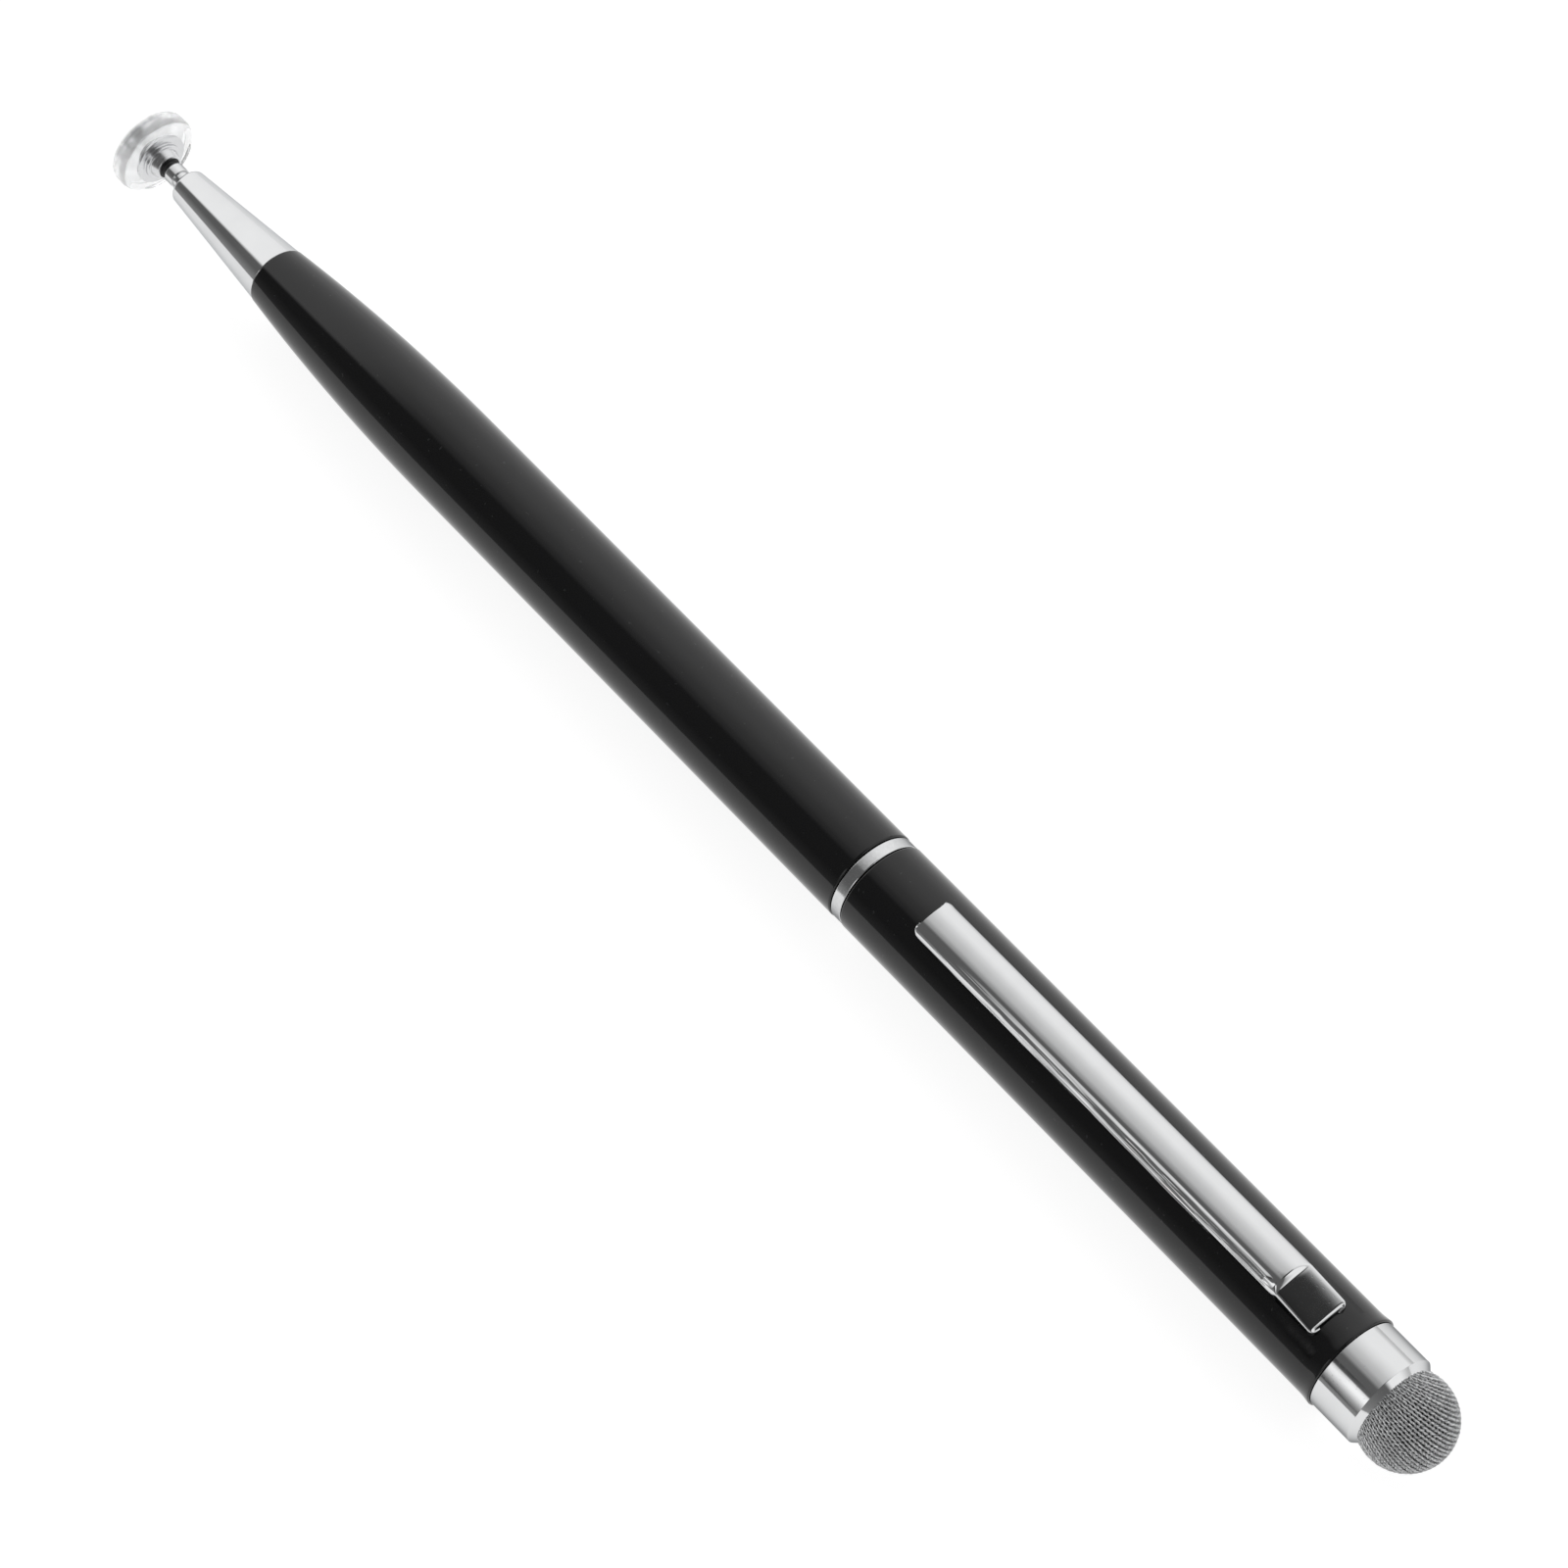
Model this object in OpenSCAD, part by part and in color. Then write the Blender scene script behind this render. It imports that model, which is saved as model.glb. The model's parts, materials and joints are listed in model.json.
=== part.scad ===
// Two-ended capacitive stylus: a clear contact disc on a ball stem at one end, a knitted fibre dome
// at the other, and two lacquered barrels that screw together at a chrome ring.
// The pen lies along X with the disc at -X and the clip on top. Z = 0 is the table under it, and
// the origin is under the middle of its length.

/* [Barrels] */
// Outside diameter of both barrels
barrel_d = 7.7; // [6.8:0.1:11]
// Wall of both barrel tubes
barrel_wall = 0.45; // [0.3:0.05:0.6]
// Length of the lower barrel, on the disc's side
lower_len = 71.15; // [50:0.05:100]
// Diameter of the lower barrel where it meets the nose cone
barrel_front_d = 5.24; // [4.8:0.02:6.4]
// Length of the lower barrel's rounded taper
taper_len = 22.5; // [12:0.5:36]
// Length of the upper barrel, on the fibre's side
upper_len = 49.15; // [40:0.05:80]
// How far the upper barrel's tail lip flares out
flare_h = 0.1; // [0.02:0.01:0.3]
// Length of the flared tail lip
flare_len = 1.2; // [0.6:0.1:1.4]
// Rounding of the barrel rims
rim_r = 0.16; // [0.05:0.01:0.25]

/* [Nose cone] */
// Length of the nose cone that shows
nose_len = 12; // [8:0.05:18]
// Wall of the nose cone around the stem at its front
nose_front_wall = 0.7; // [0.5:0.05:1.2]
// Rounding of the nose cone's front shoulder
nose_shoulder_r = 0.55; // [0.1:0.05:0.6]
// Step down from the lower barrel to the nose cone
nose_step = 0.04; // [0:0.01:0.2]
// Length of the nose cone's screwed spigot
spigot_len = 6; // [3:0.5:10]
// Wall of that spigot
spigot_wall = 0.5; // [0.3:0.05:0.7]
// Wall of the front bush around the spigot
front_bush_wall = 0.55; // [0.3:0.05:0.7]
// Length of the front bush
front_bush_len = 7; // [4:0.5:12]

/* [Disc head] */
// Diameter of the contact disc
disc_d = 7; // [5.4:0.1:9]
// Thickness of the contact disc
disc_t = 1.45; // [0.8:0.05:2]
// Rounding of the disc's rim, back and front
disc_edge_r = 0.3; // [0.1:0.05:0.4]
// Rim of the disc left around its conductive film
film_margin = 0.5; // [0.35:0.05:1]
// Thickness of the conductive film
film_t = 0.1; // [0.05:0.01:0.2]
// Diameter of the ball
ball_d = 1.56; // [1.2:0.02:1.8]
// Distance from the disc's back to the ball's centre
ball_lift = 0.98; // [0.8:0.02:1.4]
// Thickness of the liner cup
liner_t = 0.17; // [0.1:0.01:0.25]
// Distance from the ball's centre to the hub's mouth
mouth_h = 0.4; // [0.3:0.02:0.5]
// How far the liner stands out of the hub's mouth
liner_proud = 0.04; // [0.02:0.01:0.15]
// Wall of the hub's boss around the cup
hub_wall = 0.56; // [0.4:0.02:0.9]
// Height of the hub's boss above the disc
boss_h = 0.63; // [0.45:0.01:0.9]
// Wall of the collar that narrows from the boss to the mouth
collar_wall = 0.29; // [0.2:0.01:0.36]
// Wall left around the hub's mouth
hub_rim = 0.19; // [0.1:0.01:0.3]
// Wall of the hub's spigot inside the disc
hub_spigot_wall = 0.46; // [0.2:0.02:0.6]
// Width of the hub's flange beyond its boss
flange_w = 0.62; // [0.2:0.02:0.8]
// Thickness of the hub's flange
flange_t = 0.3; // [0.15:0.05:0.4]
// Diameter of the stem's neck behind the ball
neck_d = 0.7; // [0.5:0.02:0.8]
// Distance from the ball's centre to the stem's collar bead
neck_len = 0.78; // [0.76:0.02:1.6]
// Diameter of the collar bead
bead_d = 1.74; // [1.2:0.02:2.2]
// Length of the collar bead
bead_len = 1.1; // [0.6:0.01:1.5]
// Rounding of the collar bead
bead_r = 0.26; // [0.05:0.01:0.28]
// Length of stem that shows between the bead and the nose cone
stem_gap = 0.82; // [0.2:0.01:1.6]
// Diameter of the stem's screwed shank
shank_d = 1.6; // [1.2:0.05:2]
// Length of the screwed shank inside the nose cone
shank_len = 6; // [3:0.5:8]
// Step from the shank down to the stem that shows
shank_step = 0.06; // [0.02:0.01:0.15]

/* [Centre joint] */
// Length of the chrome centre ring
ring_len = 1; // [0.6:0.01:4]
// Depth of the ring below the barrels' surface
ring_step = 0.05; // [0:0.01:0.2]
// Gap line on each side of the ring
ring_gap = 0.085; // [0.03:0.005:0.15]
// Rounding of the ring's edges
ring_edge_r = 0.08; // [0.02:0.01:0.2]
// Length of the nipple pressed into the lower barrel
nipple_grip = 9; // [5:0.5:15]
// Wall of the nipple around its bore
nipple_wall = 0.9; // [0.5:0.05:1.2]
// Height of the land that carries the ring above the thread
land_step = 0.35; // [0.15:0.05:0.5]
// Length of the centre thread
thread_len = 5; // [3:0.25:10]
// Wall of the upper bush around the thread
upper_bush_wall = 0.8; // [0.5:0.05:1]
// Length of the upper bush
upper_bush_len = 9; // [5:0.5:14]
// Distance of the upper bush from the barrel's rim
upper_bush_inset = 0.2; // [0.1:0.05:1]

/* [Pocket clip] */
// Distance from the upper barrel's front rim to the clip's free end
clip_setback = 6.05; // [2:0.05:15]
// Distance from the clip's heel to the upper barrel's tail end
clip_tail_gap = 2; // [1.3:0.1:4]
// Thickness of the clip's sheet
clip_t = 0.4; // [0.3:0.02:0.5]
// Width of the clip's arm
clip_w = 3.45; // [2.2:0.05:4]
// Radius of the arm's rounded top, seen along the pen
clip_bow_r = 3.5; // [2.6:0.1:9]
// Width of the clip's foot
foot_w = 3.3; // [2.4:0.02:4]
// Length of the foot
foot_len = 3.5; // [3:0.1:6]
// How far the foot slopes up from its heel to the crank
foot_rise = 0.6; // [0:0.01:0.9]
// Fall of the foot's top towards its folded sides
foot_bow = 0.09; // [0:0.01:0.15]
// Length of the crank between arm and foot
crank_len = 0.5; // [0.3:0.05:2]
// Height of the arm's crown above the barrel at the free end
crown_tip_h = 1.05; // [0.9:0.05:1.6]
// Height of the arm's crown above the barrel at the crank
crown_root_h = 1.4; // [1:0.05:2]
// Depth of the arm's folded sides
skirt_h = 1.2; // [0.8:0.05:1.4]
// Rounding of the free end's corners, seen from above
clip_corner_r = 0.4; // [0.1:0.05:0.8]
// Rounding of the folded sides at the free end
prow_r = 0.8; // [0.2:0.05:1.2]
// Depth of the scallop in the heel's edge
scallop = 0.12; // [0:0.02:0.6]
// Squareness of the arm's section, 2 is an ellipse
clip_squareness = 4.2; // [3:0.1:6]
// Width of the clip's tab
tab_w = 1.7; // [1:0.1:2.2]
// Distance from the foot's front to the tab
tab_margin = 0.35; // [0.1:0.05:0.6]
// Length of the tab's hook under the barrel wall
hook_len = 1.1; // [0.6:0.05:1.2]
// Room under the barrel wall for the hook to rise as the clip opens
hook_room = 0.3; // [0.25:0.01:0.4]

// Room around the tab in its slot and keyway
slot_room = 0.15; // [0.1:0.01:0.25]

/* [Fibre end] */
// Length of the ferrule's cylinder
ferrule_len = 3.7; // [2.5:0.1:8]
// Step down from the upper barrel to the ferrule
ferrule_step = 0.06; // [0.02:0.01:0.3]
// Length of the ferrule's chamfer
chamfer_len = 0.55; // [0.2:0.05:1]
// Depth of the ferrule's chamfer
chamfer_h = 0.49; // [0.1:0.01:0.7]
// Wall of the ferrule's lip around its cup
lip_wall = 0.35; // [0.2:0.05:0.6]
// Floor left under the ferrule's cup
cup_floor = 1; // [0.5:0.1:1.5]
// Length of the ferrule's screwed spigot
tail_spigot_len = 5; // [3:0.5:6]
// Length of the tail bush
tail_bush_len = 7; // [6:0.5:10]
// Metal left between the tail bush's keyway and its bore
keyway_floor = 0.35; // [0.2:0.05:0.5]
// How far the fibre dome bulges past the ferrule's lip
dome_bulge = 0.33; // [0.1:0.01:0.5]
// Distance from the lip to the dome's centre
dome_offset = 1.2; // [0.6:0.05:1.6]
// Thickness of the fibre sock
sock_t = 0.35; // [0.2:0.05:0.5]
// Length of the plug's head in the ferrule's cup
plug_len = 1.6; // [0.8:0.1:2]
// Diameter of the plug's stem
plug_stem_d = 1.8; // [1:0.1:2.2]
// Length of the plug's stem
plug_stem_len = 3.5; // [1:0.5:5]

/* [Fits] */
// Radial gap at pressed, glued and screwed seats
seat_gap = 0.02; // [0.01:0.005:0.04]
// Radial gap between pieces that turn on each other
run_gap = 0.03; // [0.02:0.005:0.05]
// Gap between the clip and what it clears
clip_gap = 0.04; // [0.02:0.01:0.08]

/* [Hidden] */

chrome = [0.83, 0.84, 0.86];
steel = [0.62, 0.63, 0.65];
lacquer = [0.06, 0.06, 0.065];
brass = [0.78, 0.62, 0.32];
clear = [0.9, 0.93, 0.95, 0.4];

// Sides of a full turn, and steps along a rounded outline
turn_fn = 96;
arc_steps = 16;
round_steps = 5;

barrel_r = barrel_d / 2;
tube_r = barrel_r - barrel_wall;
axis_z = barrel_r + flare_h;

// The ball, its liner and the hub's cup share one centre
ball_r = ball_d / 2;
liner_in_r = ball_r + run_gap;
liner_out_r = liner_in_r + liner_t;
cup_ball_r = liner_out_r + run_gap;
liner_rim_h = mouth_h + liner_proud;
hub_spigot_r = cup_ball_r + hub_spigot_wall;
hub_boss_r = cup_ball_r + hub_wall;
collar_r = cup_ball_r + collar_wall;
mouth_r = sqrt(pow(cup_ball_r, 2) - pow(mouth_h, 2));
flange_r = hub_boss_r + flange_w;
film_r = disc_d / 2 - film_margin;
shank_r = shank_d / 2;

// The fibre end, outwards from the ferrule
ferrule_r = barrel_r - ferrule_step;
lip_r = ferrule_r - chamfer_h;
cup_r = lip_r - lip_wall;
dome_r = lip_r + dome_bulge;
dome_in_r = dome_r - sock_t;
skirt_out_r = cup_r - seat_gap;
skirt_in_r = skirt_out_r - sock_t;
plug_stem_r = plug_stem_d / 2;

// Stations along the pen, from the disc's face to the dome's end
ball_set = disc_t + ball_lift;
head_reach = ball_set + neck_len + bead_len + stem_gap;
joint_len = ring_len + 2 * ring_gap;
tip_reach = ferrule_len + chamfer_len + dome_offset + dome_r;
total_len = head_reach + nose_len + lower_len + joint_len + upper_len + tip_reach;
x_disc = -total_len / 2;
x_ball = x_disc + ball_set;
x_bead = x_ball + neck_len;
x_nose = x_disc + head_reach;
x_lower = x_nose + nose_len;
x_lower_end = x_lower + lower_len;
x_upper = x_lower_end + joint_len;
x_upper_end = x_upper + upper_len;
x_chamfer = x_upper_end + ferrule_len;
x_lip = x_chamfer + chamfer_len;
x_cup = x_upper_end + cup_floor;
x_seat = x_lip + seat_gap;
x_dome = x_lip + dome_offset;

// The lower barrel's taper is one arc, tangent to its straight part
taper_drop = barrel_r - barrel_front_d / 2;
taper_r = (pow(taper_len, 2) + pow(taper_drop, 2)) / (2 * taper_drop);

// Bores and spigots that screw together
spigot_r = barrel_front_d / 2 - barrel_wall - front_bush_wall;
thread_r = tube_r - upper_bush_wall;
land_r = thread_r + land_step;
ring_r = barrel_r - ring_step;

// The clip's places along the pen, and its tab through the barrel wall
x_clip = x_upper + clip_setback;
x_heel = x_upper_end - clip_tail_gap;
x_foot = x_heel - foot_len;
x_crank = x_foot - crank_len;
arm_len = x_crank - x_clip;
foot_in_r = barrel_r + clip_gap;
foot_out_r = foot_in_r + clip_t;
x_tab = x_foot + tab_margin;
hook_top = tube_r - hook_room;
hook_bottom = hook_top - clip_t;
keyway_r = hook_bottom - clip_gap;
tail_bore_r = keyway_r - keyway_floor;
clip_sides = 12;

// Points of an arc about a centre, from one angle to another
function arc(centre, r, from, to, steps = round_steps) =
    [for (i = [0 : steps])
        let (a = from + (to - from) * i / steps)
        [centre[0] + r * cos(a), centre[1] + r * sin(a)]];

// Outside radius of the lower barrel at a station
function lower_r(x) =
    let (d = x_lower + taper_len - x)
    d <= 0 ? barrel_r : barrel_r - taper_r + sqrt(pow(taper_r, 2) - pow(d, 2));

// Outline of the lower barrel between two stations, set inwards by a depth
function lower_line(from, to, depth) =
    [for (i = [0 : arc_steps])
        let (x = from + (to - from) * i / arc_steps)
        [lower_r(x) - depth, x]];

// Solid turned about the pen's axis from an outline of radius and station
module turned(outline) {
    translate([0, 0, axis_z])
        rotate([0, 90, 0])
            rotate_extrude($fn = turn_fn)
                polygon(outline);
}

// Block that is centred across the pen, from low to high in station and in height above the axis
module block(low, high, width) {
    translate([low[0], -width / 2, axis_z + low[1]])
        cube([high[0] - low[0], width, high[1] - low[1]]);
}

// Clear disc with a round rim, a bore for the hub and a shallow seat for the film
module contact_disc() {
    edge = disc_d / 2 - disc_edge_r;
    bore = hub_spigot_r + run_gap;
    color(clear)
        turned(concat(
            [[film_r + seat_gap, x_disc]],
            arc([edge, x_disc + disc_edge_r], disc_edge_r, -90, 0),
            arc([edge, x_disc + disc_t - disc_edge_r], disc_edge_r, 0, 90),
            [[bore, x_disc + disc_t],
             [bore, x_disc + film_t + seat_gap],
             [film_r + seat_gap, x_disc + film_t + seat_gap]]));
}

// Thin conductive film, level with the disc's face
module contact_film() {
    color(clear)
        turned([[0, x_disc], [film_r, x_disc], [film_r, x_disc + film_t], [0, x_disc + film_t]]);
}

// Turned hub: spigot through the disc, flange on its back, boss with the ball's cup
module disc_hub() {
    floor_x = x_disc + film_t + 2 * seat_gap;
    flange_x = x_disc + disc_t + run_gap;
    boss_x = x_disc + disc_t + boss_h;
    mouth_x = x_ball + mouth_h;
    mouth_a = asin(mouth_h / cup_ball_r);
    color(steel)
        turned(concat(
            [[0, floor_x],
             [hub_spigot_r, floor_x],
             [hub_spigot_r, flange_x],
             [flange_r, flange_x],
             [flange_r, flange_x + flange_t],
             [hub_boss_r, flange_x + flange_t],
             [hub_boss_r, boss_x],
             [collar_r, boss_x],
             [mouth_r + hub_rim, mouth_x]],
            arc([0, x_ball], cup_ball_r, mouth_a, -90, arc_steps)));
}

// Black plastic cup round the ball, whose rim shows in the hub's mouth
module socket_liner() {
    out_a = asin(liner_rim_h / liner_out_r);
    in_a = asin(liner_rim_h / liner_in_r);
    color("black")
        turned(concat(
            arc([0, x_ball], liner_out_r, -90, out_a, arc_steps),
            arc([0, x_ball], liner_in_r, in_a, -90, arc_steps)));
}

// Ball, neck, collar bead and screwed shank in one turned piece
module ball_stem() {
    neck_r = neck_d / 2;
    neck_a = acos(neck_r / ball_r);
    stem_r = shank_r - shank_step;
    bead_core = bead_d / 2 - bead_r;
    color(chrome)
        turned(concat(
            arc([0, x_ball], ball_r, -90, neck_a, arc_steps),
            [[neck_r, x_bead]],
            arc([bead_core, x_bead + bead_r], bead_r, -90, 0),
            arc([bead_core, x_bead + bead_len - bead_r], bead_r, 0, 90),
            [[stem_r, x_bead + bead_len],
             [stem_r, x_nose + shank_step],
             [shank_r, x_nose + 2 * shank_step],
             [shank_r, x_nose + shank_len],
             [0, x_nose + shank_len]]));
}

// Chrome cone with a rounded front shoulder, and a hollow spigot that screws into the bush
module nose_cone() {
    front_r = shank_r + nose_front_wall;
    rear_r = barrel_front_d / 2 - nose_step;
    bore = shank_r + seat_gap;
    relief = spigot_r - spigot_wall;
    color(chrome)
        turned(concat(
            [[bore, x_nose]],
            arc([front_r - nose_shoulder_r, x_nose + nose_shoulder_r], nose_shoulder_r, -90, 0),
            [[rear_r, x_lower - seat_gap],
             [spigot_r, x_lower - seat_gap],
             [spigot_r, x_lower + spigot_len],
             [relief, x_lower + spigot_len],
             [relief, x_nose + shank_len + seat_gap],
             [bore, x_nose + shank_len + seat_gap]]));
}

// Brass bush that fills the barrel's taper and takes the nose cone's spigot
module front_bush() {
    bore = spigot_r + seat_gap;
    color(brass)
        turned(concat(
            [[bore, x_lower]],
            lower_line(x_lower, x_lower + front_bush_len, barrel_wall + seat_gap),
            [[bore, x_lower + front_bush_len]]));
}

// Black tube, straight at the ring and drawn in on one arc towards the nose
module lower_barrel() {
    x_straight = x_lower + taper_len;
    color(lacquer)
        turned(concat(
            lower_line(x_lower, x_straight, 0),
            arc([barrel_r - rim_r, x_lower_end - rim_r], rim_r, 0, 90),
            [[tube_r, x_lower_end]],
            lower_line(x_straight, x_lower, barrel_wall)));
}

// Brass nipple: gripped by the lower barrel, a land for the ring, then the centre thread
module joint_nipple() {
    grip_r = tube_r - seat_gap;
    bore = thread_r - nipple_wall;
    color(brass)
        turned([
            [bore, x_lower_end - nipple_grip],
            [grip_r, x_lower_end - nipple_grip],
            [grip_r, x_lower_end],
            [land_r, x_lower_end],
            [land_r, x_upper],
            [thread_r, x_upper],
            [thread_r, x_upper + thread_len],
            [bore, x_upper + thread_len]]);
}

// Chrome ring on the nipple's land, with a gap line on each side
module centre_ring() {
    front = x_lower_end + ring_gap;
    rear = front + ring_len;
    core = ring_r - ring_edge_r;
    color(chrome)
        turned(concat(
            [[land_r + seat_gap, front]],
            arc([core, front + ring_edge_r], ring_edge_r, -90, 0),
            arc([core, rear - ring_edge_r], ring_edge_r, 0, 90),
            [[land_r + seat_gap, rear]]));
}

// Brass bush in the upper barrel, which runs on the nipple's thread
module upper_bush() {
    front = x_upper + upper_bush_inset;
    color(brass)
        turned([
            [thread_r + run_gap, front],
            [tube_r - seat_gap, front],
            [tube_r - seat_gap, front + upper_bush_len],
            [thread_r + run_gap, front + upper_bush_len]]);
}

// Black tube with a flared tail lip and a slot for the clip's tab
module upper_barrel() {
    flare_x = x_upper_end - flare_len;
    lip_core = barrel_r + flare_h - rim_r;
    color(lacquer)
        difference() {
            turned(concat(
                [[tube_r, x_upper]],
                arc([barrel_r - rim_r, x_upper + rim_r], rim_r, -90, 0),
                [for (i = [0 : round_steps - 1])
                    let (f = i / round_steps)
                    [barrel_r + flare_h * f * f, flare_x + (flare_len - rim_r) * f]],
                arc([lip_core, x_upper_end - rim_r], rim_r, 0, 90),
                [[tube_r, x_upper_end]]));
            block([x_tab - slot_room, 0], [x_tab + clip_t + hook_len + slot_room, 2 * barrel_r],
                  tab_w + 2 * slot_room);
        }
}

// Brass bush at the tail, bored for the ferrule and with a keyway under the clip's hook
module tail_bush() {
    x_front = x_upper_end - tail_bush_len;
    color(brass)
        difference() {
            turned([
                [tail_bore_r, x_front],
                [tube_r - seat_gap, x_front],
                [tube_r - seat_gap, x_upper_end - seat_gap],
                [tail_bore_r, x_upper_end - seat_gap]]);
            block([x_front - slot_room, keyway_r], [x_tab + clip_t + slot_room, barrel_r], tab_w + 2 * slot_room);
        }
}

// Chrome cup for the fibre sock, with a chamfered lip and a screwed spigot
module tail_ferrule() {
    bore = plug_stem_r + seat_gap;
    tail_spigot_r = tail_bore_r - seat_gap;
    color(chrome)
        turned([
            [bore, x_upper_end - tail_spigot_len],
            [tail_spigot_r, x_upper_end - tail_spigot_len],
            [tail_spigot_r, x_upper_end + seat_gap],
            [ferrule_r, x_upper_end + seat_gap],
            [ferrule_r, x_chamfer],
            [lip_r, x_lip],
            [cup_r, x_lip],
            [cup_r, x_cup],
            [bore, x_cup]]);
}

// Plug that holds the sock's skirt against the ferrule's cup
module tip_plug() {
    front = x_cup + seat_gap;
    head_r = skirt_in_r - seat_gap;
    color(steel)
        turned([
            [0, front - plug_stem_len],
            [plug_stem_r, front - plug_stem_len],
            [plug_stem_r, front],
            [head_r, front],
            [head_r, front + plug_len],
            [0, front + plug_len]]);
}

// Soft core that fills the sock down to the plug
module foam_core() {
    x_stub = x_cup + plug_len + 2 * seat_gap;
    x_shelf = x_seat + sock_t + seat_gap;
    core_r = dome_in_r - seat_gap;
    shelf_a = asin((x_shelf - x_dome) / core_r);
    stub_r = skirt_in_r - seat_gap;
    color("dimgray")
        turned(concat(
            [[0, x_stub], [stub_r, x_stub], [stub_r, x_shelf]],
            arc([0, x_dome], core_r, shelf_a, 90, arc_steps)));
}

// Knitted sock: a dome that rests on the ferrule's lip, and a skirt gathered into its cup
module mesh_tip() {
    x_skirt = x_cup + seat_gap;
    seat_a = asin((x_seat - x_dome) / dome_r);
    x_shelf = x_seat + sock_t;
    shelf_a = asin((x_shelf - x_dome) / dome_in_r);
    color([0.6, 0.61, 0.62])
        turned(concat(
            [[skirt_in_r, x_skirt], [skirt_out_r, x_skirt], [skirt_out_r, x_seat]],
            arc([0, x_dome], dome_r, seat_a, 90, arc_steps),
            arc([0, x_dome], dome_in_r, 90, shelf_a, arc_steps),
            [[skirt_in_r, x_shelf]]));
}

// Signed power, which squares off the rounded section of the clip's arm
function squared(v) = sign(v) * pow(abs(v), 2 / clip_squareness);

// Smooth step from 0 to 1 across a stretch
function ease(x, from, to) =
    let (f = min(1, max(0, (x - from) / (to - from))))
    f * f * (3 - 2 * f);

// Height lost to a quarter round, at a distance from the end that it rounds
function round_loss(d, r) = d >= r ? 0 : r - sqrt(pow(r, 2) - pow(r - d, 2));

// Fall of the arm's rounded top at a distance from its middle
function bow(y) = clip_bow_r - sqrt(pow(clip_bow_r, 2) - pow(y, 2));

// Fall of the foot's top at a distance from its middle
function foot_fall(y) = foot_bow * pow(2 * y / foot_w, 2);

// Rise of the sloping foot at a station
function foot_lift(x) = foot_rise * min(1, (x_heel - x) / foot_len);

// One point of the clip's section at a station: around the section by angle, inwards by depth
function clip_point(x, a, depth) =
    let (
        end_d = x - x_clip,
        heel_d = x_heel - x,
        foot = ease(x, x_crank, x_foot),
        crown = barrel_r + crown_tip_h + (crown_root_h - crown_tip_h) * min(1, end_d / arm_len),
        half = clip_w / 2 - round_loss(end_d, clip_corner_r) - depth,
        low = crown - skirt_h + bow(clip_w / 2) + round_loss(end_d, prow_r),
        arm_y = half * squared(cos(a)),
        arm_z = low + (crown - depth - low) * squared(sin(a)) - bow(arm_y),
        foot_half = foot_w / 2 - round_loss(heel_d, clip_corner_r) - depth,
        foot_low = sqrt(pow(foot_in_r, 2) - pow(foot_half, 2)) + foot_fall(foot_half),
        foot_y = foot_half * squared(cos(a)),
        foot_top = foot_out_r + foot_lift(x) - depth,
        foot_z = foot_low + (foot_top - foot_low) * squared(sin(a)) - foot_fall(foot_y),
        edge_x = scallop * ease(heel_d, foot_len, 0) * sin(a) * sin(a))
    [x - edge_x,
     arm_y + (foot_y - arm_y) * foot,
     axis_z + arm_z + (foot_z - arm_z) * foot];

// Stations along the clip: close together at its ends and across the crank
function clip_stations() = concat(
    [for (f = [0.02, 0.08, 0.2, 0.4, 0.7]) x_clip + f * prow_r],
    [for (i = [0 : 4]) x_clip + prow_r + (arm_len - prow_r) * i / 4],
    [for (i = [1 : 6]) x_crank + crank_len * i / 6],
    [for (f = [0.3, 0.6]) x_foot + (foot_len - clip_corner_r) * f],
    [for (f = [1, 0.6, 0.3, 0.1, 0.02]) x_heel - f * clip_corner_r]);

// Folded strip swept along the stations, closed at both ends
module clip_strip() {
    stations = clip_stations();
    ring = 2 * (clip_sides + 1);
    last = len(stations) - 1;
    points = [for (x = stations)
        each concat(
            [for (j = [0 : clip_sides]) clip_point(x, 180 * j / clip_sides, 0)],
            [for (j = [clip_sides : -1 : 0]) clip_point(x, 180 * j / clip_sides, clip_t)])];
    sides = [for (i = [0 : last - 1], j = [0 : ring - 1])
        let (
            a = i * ring + j,
            b = i * ring + (j + 1) % ring,
            c = b + ring,
            d = a + ring)
        each [[a, c, b], [a, d, c]]];
    caps = [for (j = [0 : clip_sides - 1])
        let (
            a = j,
            b = j + 1,
            c = ring - 2 - j,
            d = ring - 1 - j,
            up = last * ring)
        each [[a, b, c], [a, c, d], [up + a, up + c, up + b], [up + a, up + d, up + c]]];
    polyhedron(points = points, faces = concat(sides, caps));
}

// Stamped clip with folded sides, a crank, a folded foot and a hooked tab through the barrel
module pocket_clip() {
    tab_top = foot_in_r + foot_lift(x_tab + clip_t) + clip_t / 2;
    color(chrome) {
        clip_strip();
        block([x_tab, hook_bottom], [x_tab + clip_t, tab_top], tab_w);
        block([x_tab - hook_len, hook_bottom], [x_tab + clip_t, hook_top], tab_w);
    }
}

contact_disc();
contact_film();
disc_hub();
socket_liner();
ball_stem();
nose_cone();
front_bush();
lower_barrel();
joint_nipple();
centre_ring();
upper_bush();
upper_barrel();
pocket_clip();
tail_bush();
tail_ferrule();
tip_plug();
foam_core();
mesh_tip();
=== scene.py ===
"""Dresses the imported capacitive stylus: turned metal, lacquered tubes, folded clip and knitted tip."""

import json
import math

import bmesh
import bpy
import numpy as np
from bpy.props import FloatProperty, FloatVectorProperty, IntProperty, PointerProperty
from mathutils import Matrix, Vector


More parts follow.
